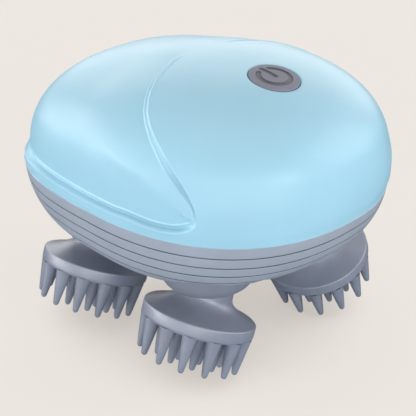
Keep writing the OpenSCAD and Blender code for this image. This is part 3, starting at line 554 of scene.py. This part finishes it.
def bowl_scales(z, depth=BOWL_D):
    """Scales of the plan in x and y at that height."""
    share = bowl_share(z, depth)
    return BASE_X + (1 - BASE_X) * share, BASE_Y + (1 - BASE_Y) * share


def bowl_row(t, z, inset, depth=BOWL_D):
    x, y = outline(t, inset, *bowl_scales(z, depth))
    return np.stack([x + BOWL_LEAN * z, y, np.full_like(x, z)], 1)


def bowl_levels():
    """Height and inset of the rows down the bowl's outside, with its grooves."""
    groove = [(-dz, d) for dz, d in GROOVE_HALF[::-1]] + list(GROOVE_HALF)
    levels = [(z, 0.0) for z in (-EDGE, *BOWL_TOP_ROWS)]
    for g in range(1, GROOVES + 1):
        levels += [(-GROOVE_PITCH * g - dz, d) for dz, d in groove]
        if g < GROOVES:
            levels += [(-GROOVE_PITCH * (g + f), 0.0) for f in BETWEEN_GROOVES]
    for share in np.linspace(bowl_share(-BOWL_ROUND_FROM * BOWL_D), 0, BOWL_ROUND_ROWS):
        levels.append((-BOWL_D * (1 - share ** BOWL_ROUND) ** (1 / BOWL_SQUARE), 0.0))
    return levels


def make_bottom_shell(materials):
    n = BOWL_N
    t = TURN * np.arange(n) / n
    levels = bowl_levels()
    x, y = outline(t, EDGE)
    rows = [np.stack([x, y, np.zeros(n)], 1)] + [bowl_row(t, z, inset) for z, inset in levels]
    base, centre = rows[-1], np.array([0, 0, -BOWL_D])
    rows += [centre + (base - centre) * f for f in BASE_RINGS]
    inner_d = BOWL_D - WALL
    inner = [bowl_row(t, -inner_d * k, WALL, inner_d) for k in INNER_ROWS]
    x, y = outline(t, FLANGE)
    inner += [np.stack([x, y, np.full(n, z)], 1) for z in (-FLANGE_H, 0.0)]
    points = np.vstack(rows + [centre[None]] + inner + [[[0, 0, -inner_d]]])
    insets = [0.0] + [inset for _, inset in levels]
    # faces in the grooves get the darker material: painted shade
    parts = [int(i + 1 < len(insets) and max(insets[i:i + 2]) > GROOVE_SHADE_DEPTH)
             for i in range(len(rows) - 1) for _ in range(n)]
    faces = [f[::-1] for f in strip_faces(len(rows), n)]
    faces += fan_faces(len(rows) * n, (len(rows) - 1) * n, n, flip=True)
    start = len(rows) * n + 1
    faces += [f[::-1] for f in strip_faces(len(inner), n, start)]
    faces += fan_faces(len(points) - 1, start, n)
    last = start + (len(inner) - 1) * n
    faces += [(last + j, j, (j + 1) % n, last + (j + 1) % n) for j in range(n)]
    parts += [0] * (len(faces) - len(parts))
    piece = add_mesh("bowl", points, faces, "housing", materials, parts, smooth_deg=BOWL_SMOOTH)
    cut_bowl(piece)
    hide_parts("bottom_shell")


def bowl_cutter():
    """Cylinders for the seats of the collars, the screws' counterbores and the socket's hole."""
    bm = bmesh.new()

    def bore(at, r, length, segments, turn=Matrix.Identity(4)):
        bmesh.ops.create_cone(bm, cap_ends=True, segments=segments, radius1=r * MM, radius2=r * MM,
                              depth=length * MM, matrix=Matrix.Translation(at) @ turn)

    for corner in CORNERS:
        x, y = shaft_xy(corner)
        bore(SEAM + Vector((x, y, SEAT_Z)) * MM, COLLAR_SEAT, SEAT_L, 192)
    low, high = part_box("case_screws")
    edge = SCREW_HEAD_R * MM
    for x in (low.x + edge, high.x - edge):
        for y in (low.y + edge, high.y - edge):
            bore(Vector((x, y, SEAM.z + SEAT_Z * MM)), SCREW_SEAT_R, SEAT_L, 48)
    low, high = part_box("charging_socket")
    bore(Vector((low.x, 0, (low.z + high.z) / 2)), SOCKET_HOLE_R, SOCKET_HOLE_L, 64,
         Matrix.Rotation(math.pi / 2, 4, "Y"))
    mesh = bpy.data.meshes.new("bowl_cutter")
    bm.to_mesh(mesh)
    bm.free()
    cutter = bpy.data.objects.new("bowl_cutter", mesh)
    bpy.context.scene.collection.objects.link(cutter)
    return cutter


def cut_bowl(piece):
    cutter = bowl_cutter()
    cut = piece.modifiers.new("cuts", "BOOLEAN")
    cut.operation, cut.solver, cut.object = "DIFFERENCE", "EXACT", cutter
    bpy.context.view_layer.update()
    shape = piece.evaluated_get(bpy.context.evaluated_depsgraph_get())
    done = bpy.data.meshes.new_from_object(shape)
    piece.modifiers.clear()
    piece.data = done
    done.polygons.foreach_set("use_smooth", [True] * len(done.polygons))
    done.set_sharp_from_angle(angle=math.radians(BOWL_SMOOTH))
    bpy.data.objects.remove(cutter)


# ---------- Button ----------
RING_R, RING_LINE, RING_GAP, SYMBOL_DEPTH = 4.85, 1.4, 0.95, 0.35
BAR_FROM, BAR_TO = -5.25, 0.3      # the symbol's bar, towards the tail
SYMBOL_EDGE = 0.14                 # half width of the sloping edge of the engraving
SYMBOL_FLOOR = -0.16               # faces deeper within the line than this get the floor's painted shade, the rest of the line the edge's darker painted shade
CAP_N, CAP_RINGS, CAP_EDGE = 216, 56, 0.3
CAP_RING_FROM, CAP_RING_TO = CAP_R - CAP_EDGE - 0.14, 0.12
CAP_SIDE = (-3.6, -1.2)            # heights of the cap's skirt


def symbol_distance(x, y):
    """Distance outside the line of the engraved symbol, an open ring and a bar."""
    r, turn = np.hypot(x, y), np.abs(np.arctan2(y, -x))
    half_gap = (RING_GAP + RING_LINE) / RING_R
    ends = np.hypot(x + RING_R * math.cos(half_gap), np.abs(y) - RING_R * math.sin(half_gap))
    ring = np.where(turn > half_gap, np.abs(r - RING_R), ends)
    bar = np.hypot(x - np.clip(x, BAR_FROM, BAR_TO), y)
    return np.minimum(ring, bar) - RING_LINE / 2


def cap_height(r):
    """Height of the cap's crown at a radius."""
    return CAP_PROUD - CAP_CROWN + math.sqrt(CAP_CROWN ** 2 - r * r)


def make_button(materials):
    n = CAP_N
    t = TURN * np.arange(n) / n
    rows = [from_button(CAP_R, t, h) for h in CAP_SIDE]
    for a in np.radians(np.linspace(90, 0, 7)):
        r = CAP_R - CAP_EDGE + CAP_EDGE * math.sin(a)
        rows.append(from_button(r, t, cap_height(r) + CAP_EDGE * (math.cos(a) - 1)))
    for r in np.linspace(CAP_RING_FROM, CAP_RING_TO, CAP_RINGS):
        off = symbol_distance(r * np.cos(t), r * np.sin(t))
        sunk = SYMBOL_DEPTH * (1 - ramp(off, -SYMBOL_EDGE, SYMBOL_EDGE))
        rows.append(from_button(r, t, cap_height(r) - sunk))
    points = np.vstack(rows + [from_button(0, 0, CAP_PROUD - SYMBOL_DEPTH)[None]])
    faces = strip_faces(len(rows), n) + fan_faces(len(points) - 1, (len(rows) - 1) * n, n)
    off = symbol_distance((points - BUTTON_AT) @ BUTTON_SIDE, points[:, 1])
    middle = np.array([np.mean(off[list(f)]) for f in faces])
    # the engraving's sloping edge and floor get darker materials: painted shade
    parts = np.where(middle > SYMBOL_EDGE, 0, np.where(middle > SYMBOL_FLOOR, 1, 2))
    piece = add_mesh("power_button", points, faces, "button", materials, parts, smooth_deg=50)
    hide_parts("button_cap")


# ---------- Collars and massage heads ----------
COLLAR_N, COLLAR_BORE, COLLAR_BORE_H = 144, 5.2, 1.2
COLLAR_ROUND, COLLAR_BEVEL, COLLAR_STRAIGHT = 0.4, 0.3, -16.0
DRAWN_UP, DRAWN_DEEP = 0.6, 0.94   # a rear collar keeps within the bowl's outline this much higher up
HEAD_N, DISC_EDGE, DISC_ROUND = 112, 0.55, 1.1
FLARE_IN, FLARE_POWER, FLARE_END = 0.6, 2.2, 0.94
DISC_RINGS = (0.4, 6, 12)
FLARE_ROWS = (0.035, 0.08, 0.13, 0.19, 0.26, 0.34, 0.43, 0.53, 0.64, 0.76, 0.88)
NECK_TOP, NECK_ROWS = -21.0, 7
PRONG_ROOT = ((2.48, 0.3), (2.46, 0.0), (2.40, -0.3))    # radius and height of the soft root
PRONG_N, PRONG_TOP_R, PRONG_TOP, PRONG_BULGE = 16, 2.36, -0.5, 0.95


def mirror(corner):
    """The heads on the left are mirrored."""
    return -1 if CORNERS[corner][1] > 0 else 1


def at_head(points, corner):
    """Points of a head's own frame in the seam frame."""
    x, y = shaft_xy(corner)
    return points * [1, mirror(corner), 1] + [x, y, 0]


def add_at_head(name, points, faces, corner, body, materials, smooth_deg):
    faces = [f[::-1] for f in faces] if mirror(corner) < 0 else faces
    return add_mesh(name, at_head(points, corner), faces, body, materials, smooth_deg=smooth_deg)


def within_bowl(points, corner):
    """Draws in the points of a rear collar that would stand out beyond the bowl's edge."""
    placed = at_head(points, corner)
    z = np.maximum(placed[:, 2] + DRAWN_UP, -BOWL_D * DRAWN_DEEP)
    scale_x, scale_y = bowl_scales(z)
    u = np.abs(placed[:, 0] - BOWL_LEAN * z) / (HALF_L * scale_x)
    v = np.abs(placed[:, 1]) / (HALF_W * scale_y * (1 - EGG * u))
    over = np.maximum(1.0, (u ** EXP_TAIL + v ** EXP_TAIL) ** (1 / EXP_TAIL))
    moved = placed * (1 / over - 1)[:, None]
    return points + moved * [1, mirror(corner), 0]


def make_collar(corner, materials):
    wide, high = COLLAR_EDGE
    profile = [(COLLAR_BORE, RECESS_TOP + COLLAR_BORE_H), (COLLAR_BORE, RECESS_TOP), (RECESS_R, RECESS_TOP)]
    profile += [(RECESS_R, COLLAR_LOW + COLLAR_ROUND)]
    profile += arc_profile(RECESS_R + COLLAR_ROUND, COLLAR_LOW + COLLAR_ROUND, COLLAR_ROUND, 180, 270, 5)
    profile += [(COLLAR_R - wide * (1 - math.cos(a)), COLLAR_LOW + high * (1 - math.sin(a)))
                for a in np.radians(np.linspace(90, 0, 16))]
    profile += [(COLLAR_R, COLLAR_STRAIGHT), (COLLAR_R, COLLAR_TOP - COLLAR_BEVEL)]
    profile += [(COLLAR_R - COLLAR_BEVEL, COLLAR_TOP)]
    points, faces = lathe(profile, COLLAR_N)
    if CORNERS[corner][0] < 0:
        points = within_bowl(points, corner)
    piece = add_at_head(f"collar_ring_{corner}", points, faces, corner, "housing", materials, 35)
    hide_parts(f"collar_{corner}")


def disc_frame(points, tilt=TILT):
    """Points about the disc's normal in the head's frame, turned by the tilt."""
    x, y, s = points[:, 0], points[:, 1], points[:, 2]
    c, k = math.cos(tilt), math.sin(tilt)
    return np.stack([x, y * c + s * k, -y * k + s * c], 1)


def make_prong(points, faces, x, y):
    """A tapered prong with a rounded tip and a soft root, under the disc at x, y."""
    cone = PRONG_L - TIP_R
    profile = list(PRONG_ROOT)
    profile += [(TIP_R + (PRONG_TOP_R - TIP_R) * (1 - f) ** PRONG_BULGE, PRONG_TOP - (cone + PRONG_TOP) * f)
                for f in (0.0, 0.2, 0.4, 0.6, 0.8, 1.0)]
    profile += arc_profile(0, -cone, TIP_R, -22, -68, 3)
    start = len(points)
    ring = TURN * np.arange(PRONG_N) / PRONG_N
    for r, s in profile:
        points += [[x + r * math.cos(a), y + r * math.sin(a), s] for a in ring]
    points.append([x, y, -PRONG_L])
    faces += [f[::-1] for f in strip_faces(len(profile), PRONG_N, start)]
    faces += fan_faces(len(points) - 1, start + (len(profile) - 1) * PRONG_N, PRONG_N, flip=True)


def disc_profile():
    """Radius and height over the disc's lower face, from its middle up to where the neck begins."""
    flare = HEAD_R - FLARE_IN - NECK_R
    profile = [(r, 0) for r in (*DISC_RINGS, HEAD_R - DISC_ROUND)]
    profile += arc_profile(HEAD_R - DISC_ROUND, DISC_ROUND, DISC_ROUND, -75, 0, 6)
    profile += arc_profile(HEAD_R - DISC_EDGE, RIM_H - DISC_EDGE, DISC_EDGE, 0, 72, 6)
    return profile + [(NECK_R + flare * (1 - t) ** FLARE_POWER, RIM_H + FLARE_H * t) for t in FLARE_ROWS]


def neck_rows(circle):
    """Rings of the neck, which bends from the disc's normal to the upright shaft."""
    pivot = np.array([0, 0, -DISC_DROP + PIVOT_ARM * math.cos(TILT)])
    reach = PIVOT_ARM - RIM_H - FLARE_H * FLARE_END
    low = pivot - np.array([0, math.sin(TILT), math.cos(TILT)]) * reach
    high = pivot + np.array([0, 0, reach])
    rows = [disc_frame(circle, TILT * (1 - f)) + (1 - f) ** 2 * low + 2 * f * (1 - f) * pivot + f * f * high
            for f in np.linspace(0, 1, NECK_ROWS)]
    top = rows[-1].copy()
    top[:, 2] = NECK_TOP
    return rows + [top]


def make_massage_head(corner, materials):
    n = HEAD_N
    turn = TURN * np.arange(n) / n
    circle = np.stack([np.cos(turn), np.sin(turn), np.zeros(n)], 1)
    offset = np.array([0, -PIVOT_ARM * math.sin(TILT), -DISC_DROP])
    rows = [disc_frame(circle * r + [0, 0, s]) + offset for r, s in disc_profile()]
    rows += neck_rows(circle * NECK_R)
    faces = strip_faces(len(rows), n)
    points = np.vstack(rows + [offset[None], [[0, 0, NECK_TOP]]])
    faces += fan_faces(len(points) - 2, 0, n, flip=True)
    faces += fan_faces(len(points) - 1, (len(rows) - 1) * n, n)
    prongs, prong_faces = [], []
    for count, radius in PRONGS:
        for a in TURN * np.arange(count) / count:
            make_prong(prongs, prong_faces, radius * math.cos(a), radius * math.sin(a))
    faces += [tuple(i + len(points) for i in f) for f in prong_faces]
    points = np.vstack([points, disc_frame(np.array(prongs)) + offset])
    piece = add_at_head(f"silicone_head_{corner}", points, faces, corner, f"head_{corner}", materials, 50)
    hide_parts(f"massage_head_{corner}")


# ---------- Materials ----------
def tone(color, share):
    return tuple(c * share for c in color)


def node(tree, kind, **values):
    made = tree.nodes.new(kind)
    for key, value in values.items():
        if key in made.inputs:
            made.inputs[key].default_value = value
        else:
            setattr(made, key, value)
    return made


NOISE_SPAN = (0.3, 0.7)            # part of the noises' range that the tones and the gloss follow
ROUGH_VARY, BUMP_MM = 0.04, 0.05


def finish_material(name, color, spread, rough, grain_mm, relief, cloud_mm=12.0, edge_light_painted=False, **shader):
    """Moulded or machined finish: a colour with a cloudy spread of tone, fine grain in relief and gloss."""
    material = bpy.data.materials.new(name)
    material.use_nodes = True
    tree = material.node_tree
    surface = tree.nodes["Principled BSDF"]
    for key, value in shader.items():
        surface.inputs[key.replace("_", " ")].default_value = value
    link = tree.links.new
    place = node(tree, "ShaderNodeTexCoord").outputs["Object"]
    cloud = node(tree, "ShaderNodeTexNoise", Scale=1 / (cloud_mm * MM), Detail=3.0, Roughness=0.5)
    grain = node(tree, "ShaderNodeTexNoise", Scale=1 / (grain_mm * MM), Detail=2.0, Roughness=0.55)
    tones = node(tree, "ShaderNodeValToRGB")
    for stop, position, share in zip(tones.color_ramp.elements, NOISE_SPAN, spread):
        stop.position, stop.color = position, (*tone(color, share), 1)
    gloss = node(tree, "ShaderNodeMapRange")
    gloss.inputs["From Min"].default_value, gloss.inputs["From Max"].default_value = NOISE_SPAN
    gloss.inputs["To Min"].default_value = rough - ROUGH_VARY
    gloss.inputs["To Max"].default_value = rough + ROUGH_VARY
    bumps = node(tree, "ShaderNodeBump", Strength=relief, Distance=BUMP_MM * MM)
    for texture in (cloud, grain):
        link(place, texture.inputs["Vector"])
    link(cloud.outputs["Fac"], tones.inputs["Fac"])
    base = tones.outputs["Color"]
    if edge_light_painted:     # the mesh says where its edges get a painted highlight and where a painted shade
        more = node(tree, "ShaderNodeMath", operation="ADD")
        more.inputs[1].default_value = 1.0
        scale = node(tree, "ShaderNodeVectorMath", operation="SCALE")
        link(node(tree, "ShaderNodeAttribute", attribute_name="edge_painted_light_and_shade").outputs["Fac"], more.inputs[0])
        link(more.outputs[0], scale.inputs["Scale"])
        link(base, scale.inputs[0])
        base = scale.outputs["Vector"]
    link(base, surface.inputs["Base Color"])
    link(grain.outputs["Fac"], gloss.inputs["Value"])
    link(gloss.outputs["Result"], surface.inputs["Roughness"])
    link(grain.outputs["Fac"], bumps.inputs["Height"])
    link(bumps.outputs["Normal"], surface.inputs["Normal"])
    return material


def inner_materials():
    """Finishes of the pieces inside, one for each of the record's material slots."""
    looks = {
        "steel": ((0.60, 0.61, 0.63), 0.30, 0.3, dict(Metallic=1.0)),
        "bronze": ((0.55, 0.34, 0.13), 0.45, 0.4, dict(Metallic=1.0)),
        "brass": ((0.70, 0.50, 0.20), 0.28, 0.3, dict(Metallic=1.0)),
        "copper": ((0.60, 0.25, 0.12), 0.40, 0.5, dict(Metallic=1.0)),
        "magnet": ((0.035, 0.033, 0.033), 0.60, 0.6, {}),
        "board": ((0.02, 0.11, 0.05), 0.30, 0.6, dict(Coat_Weight=0.4)),
        "cell_wrap": ((0.05, 0.14, 0.36), 0.25, 1.2, dict(Coat_Weight=0.3)),
        "red_wire": ((0.45, 0.02, 0.015), 0.35, 0.4, {}),
        "black_wire": ((0.012, 0.012, 0.012), 0.40, 0.4, {}),
        "white_wire": ((0.72, 0.72, 0.70), 0.40, 0.4, {}),
        "acetal": ((0.80, 0.80, 0.76), 0.38, 0.5, {}),
        "inner_plastic": ((0.58, 0.58, 0.55), 0.50, 0.6, {}),
        "dark_plastic": ((0.016, 0.016, 0.018), 0.50, 0.6, {}),
        "dark_rubber": ((0.018, 0.018, 0.020), 0.75, 0.5, {}),
    }
    return {slot: finish_material(slot, color, (0.86, 1.08), rough, grain, 0.25, **more)
            for slot, (color, rough, grain, more) in looks.items()}


def dress_inner_nodes():
    made = inner_materials()
    for row in frame["record"]["subparts"]:
        cad = frame["nodes"][row["node"]]
        if row["material_slot"] in made:
            cad.data.materials.clear()
            cad.data.materials.append(made[row["material_slot"]])


# ---------- Build ----------
SHELL_BLUE = (0.363, 0.625, 0.76)
BOWL_GREY = (0.35, 0.378, 0.445)
SILICONE = (0.232, 0.254, 0.322)
BUTTON_GREY = (0.235, 0.24, 0.292)

# the shell takes the painted highlight and shade of the petal's edge from its mesh
shell_look = finish_material("pearl_blue", SHELL_BLUE, (0.975, 1.02), 0.38, 0.35, 0.05, cloud_mm=30,
                             edge_light_painted=True, Coat_Weight=0.15, Coat_Roughness=0.26, Specular_IOR_Level=0.3)
bowl_look = finish_material("satin_grey", BOWL_GREY, (0.96, 1.04), 0.42, 0.25, 0.18)
# darker grey in the grooves: painted shade
groove_painted_shade_look = finish_material("groove_painted_shade", BOWL_GREY, (0.46, 0.56), 0.6, 0.25, 0.1)
silicone_look = finish_material("silicone_grey", SILICONE, (0.93, 1.06), 0.36, 0.3, 0.2, cloud_mm=8,
                                Specular_IOR_Level=1.0)
collar_look = finish_material("collar_grey", SILICONE, (0.77, 0.86), 0.6, 0.3, 0.22, cloud_mm=8)
button_look = finish_material("button_grey", BUTTON_GREY, (0.96, 1.04), 0.6, 0.2, 0.2,
                              Specular_IOR_Level=0.12)
# darker greys inside the engraved symbol: painted shade, darkest on its sloping edge
symbol_edge_painted_shade = finish_material("symbol_edge_painted_shade", BUTTON_GREY, (0.22, 0.3), 0.5, 0.2, 0.15)
symbol_floor_painted_shade = finish_material("symbol_floor_painted_shade", BUTTON_GREY, (0.4, 0.5), 0.6, 0.2, 0.15)

make_top_shell([shell_look])
make_bottom_shell([bowl_look, groove_painted_shade_look])
make_button([button_look, symbol_edge_painted_shade, symbol_floor_painted_shade])
for name in CORNERS:
    make_collar(name, [collar_look])
    make_massage_head(name, [silicone_look])
dress_inner_nodes()

# ---------- Stage, light and camera ----------
FLOOR_TONE = (0.847, 0.807, 0.768)
FLOOR_GLOW = 0.82                # share of the floor's own tone that the camera sees in it
WARM = (1.035, 0.99, 0.955)      # tint of that glow, which warms the shadows
SHADOW_PAINT_REACH = 0.045            # what is nearer to the floor than this dims its glow: a painted contact shadow
SHADOW_PAINT_OPEN, SHADOW_PAINT_LEVELS = (0.2, 0.6), (0.7, 1.03)   # the floor's openness, and the glow for it, dimmer as painted shadow where the part hems it in
FLOOR_MIRRORED = 0.1             # share of its tone that the part's own gloss mirrors
WORLD_LEVEL, WORLD_MIRRORED = 0.1, 1.0     # light of the surroundings, and as gloss mirrors it
LAMPS_AWAY, LAMPS_AIM_Z = 3.0, 0.05
AZIMUTH, ELEVATION, CAMERA_AWAY = 44.233, 24.767, 0.376616     # of the photograph's view


def floor_material():
    """Matt floor: an even glow for the camera, dimmed near the part as a painted contact shadow, keeps its
    shadows soft, and gloss mirrors it as dim.
    """
    cool = [c * (1 + (1 - w) * FLOOR_GLOW / (1 - FLOOR_GLOW)) for c, w in zip(FLOOR_TONE, WARM)]
    material = finish_material("studio_floor", cool, (0.995, 1.005), 0.9, 1.0, 0.0, cloud_mm=300)
    tree = material.node_tree
    link = tree.links.new
    surface, out = tree.nodes["Principled BSDF"], tree.nodes["Material Output"]
    surface.inputs["Specular IOR Level"].default_value = 0.0
    seen = node(tree, "ShaderNodeLightPath")
    share = node(tree, "ShaderNodeMath", operation="MULTIPLY")
    share.inputs[1].default_value = FLOOR_GLOW
    glow = node(tree, "ShaderNodeEmission", Color=(*(c * w for c, w in zip(FLOOR_TONE, WARM)), 1))
    # painted contact shadow: occlusion near the part dims the glow the camera sees
    shadow_occlusion = node(tree, "ShaderNodeAmbientOcclusion", Distance=SHADOW_PAINT_REACH, samples=12)
    painted_shadow = node(tree, "ShaderNodeMapRange")
    painted_shadow.inputs["From Min"].default_value, painted_shadow.inputs["From Max"].default_value = SHADOW_PAINT_OPEN
    painted_shadow.inputs["To Min"].default_value, painted_shadow.inputs["To Max"].default_value = SHADOW_PAINT_LEVELS
    mix = node(tree, "ShaderNodeMixShader")
    dim = node(tree, "ShaderNodeEmission", Color=(*tone(FLOOR_TONE, FLOOR_MIRRORED), 1))
    mirrored = node(tree, "ShaderNodeMixShader")
    link(shadow_occlusion.outputs["AO"], painted_shadow.inputs["Value"])
    link(painted_shadow.outputs["Result"], glow.inputs["Strength"])
    link(seen.outputs["Is Glossy Ray"], mirrored.inputs["Fac"])
    link(mix.outputs[0], mirrored.inputs[1])
    link(dim.outputs[0], mirrored.inputs[2])
    link(seen.outputs["Is Camera Ray"], share.inputs[0])
    link(share.outputs[0], mix.inputs["Fac"])
    link(surface.outputs[0], mix.inputs[1])
    link(glow.outputs[0], mix.inputs[2])
    link(mirrored.outputs[0], out.inputs["Surface"])
    return material


def make_floor():
    mesh = bpy.data.meshes.new("floor")
    half, n = 2.5, 12
    points = [(x, y, 0) for y in np.linspace(-half, half, n) for x in np.linspace(-half, half, n)]
    faces = [(i * n + j, i * n + j + 1, (i + 1) * n + j + 1, (i + 1) * n + j)
             for i in range(n - 1) for j in range(n - 1)]
    mesh.from_pydata(points, [], faces)
    floor = bpy.data.objects.new("floor", mesh)
    bpy.context.scene.collection.objects.link(floor)
    mesh.materials.append(floor_material())


def make_world():
    world = bpy.data.worlds.new("studio")
    bpy.context.scene.world = world
    world.use_nodes = True
    tree = world.node_tree
    background = tree.nodes["Background"]
    background.inputs["Strength"].default_value = 1.0
    seen = node(tree, "ShaderNodeLightPath")
    mirrored = node(tree, "ShaderNodeMix", data_type="RGBA")
    mirrored.inputs["A"].default_value = (*[WORLD_LEVEL] * 3, 1)
    mirrored.inputs["B"].default_value = (*[WORLD_MIRRORED] * 3, 1)
    mix = node(tree, "ShaderNodeMix", data_type="RGBA")
    mix.inputs["B"].default_value = (*FLOOR_TONE, 1)
    link = tree.links.new
    link(seen.outputs["Is Glossy Ray"], mirrored.inputs["Factor"])
    link(mirrored.outputs["Result"], mix.inputs["A"])
    link(seen.outputs["Is Camera Ray"], mix.inputs["Factor"])
    link(mix.outputs["Result"], background.inputs["Color"])


def softbox(name, turn, rise, size, level):
    """A soft lamp facing the part; turn is counted from the camera to the right, level is its radiance."""
    turn, rise, azimuth = math.radians(turn), math.radians(rise), math.radians(AZIMUTH)
    toward = Vector((math.sin(azimuth + turn), -math.cos(azimuth + turn), 0))
    light = bpy.data.lights.new(name, "AREA")
    light.shape, light.size, light.size_y = "RECTANGLE", size[0], size[1]
    light.energy = level * math.pi * size[0] * size[1]
    lamp = bpy.data.objects.new(name, light)
    lamp.location = LAMPS_AWAY * (toward * math.cos(rise) + Vector((0, 0, math.sin(rise))))
    lamp.rotation_euler = (Vector((0, 0, LAMPS_AIM_Z)) - lamp.location).to_track_quat("-Z", "Y").to_euler()
    lamp.visible_camera = False
    bpy.context.scene.collection.objects.link(lamp)


def make_camera():
    """The photograph's view, as it was fitted."""
    azimuth, elevation = math.radians(AZIMUTH), math.radians(ELEVATION)
    photo_px, focal_px, centre_px = 416, 1167.8, (206.5, 164.5)
    data = bpy.data.cameras.new("photo_camera")
    data.sensor_width = 36
    data.lens = focal_px / photo_px * data.sensor_width
    data.shift_x = (photo_px / 2 - centre_px[0]) / photo_px
    data.shift_y = -(photo_px / 2 - centre_px[1]) / photo_px
    data.clip_start, data.clip_end = 0.01, 20
    camera = bpy.data.objects.new("photo_camera", data)
    back = Vector((math.sin(azimuth) * math.cos(elevation), -math.cos(azimuth) * math.cos(elevation),
                   math.sin(elevation)))
    camera.location = SEAM + back * CAMERA_AWAY
    camera.rotation_euler = (-back).to_track_quat("-Z", "Y").to_euler()
    bpy.context.scene.collection.objects.link(camera)
    bpy.context.scene.camera = camera


make_floor()
make_world()
make_camera()
softbox("left", -106, 15, (2.6, 1.9), 2.9)
softbox("left_low", -80, 4, (1.7, 0.9), 5.4)
softbox("left_front", -52, 6, (1.3, 1.0), 2.6)
softbox("front", 6, 12, (4.0, 1.9), 2.7)
softbox("right_front", 44, 17, (0.9, 0.8), 7.8)
softbox("right", 98, 25, (2.2, 2.2), 2.3)
softbox("back_low", 172, 8, (3.4, 0.8), 1.3)
softbox("back_high", 176, 27, (4.4, 1.4), 1.5)
softbox("overhead", 0, 88, (2.5, 2.5), 1.0)
bpy.context.scene.view_settings.view_transform = "Standard"
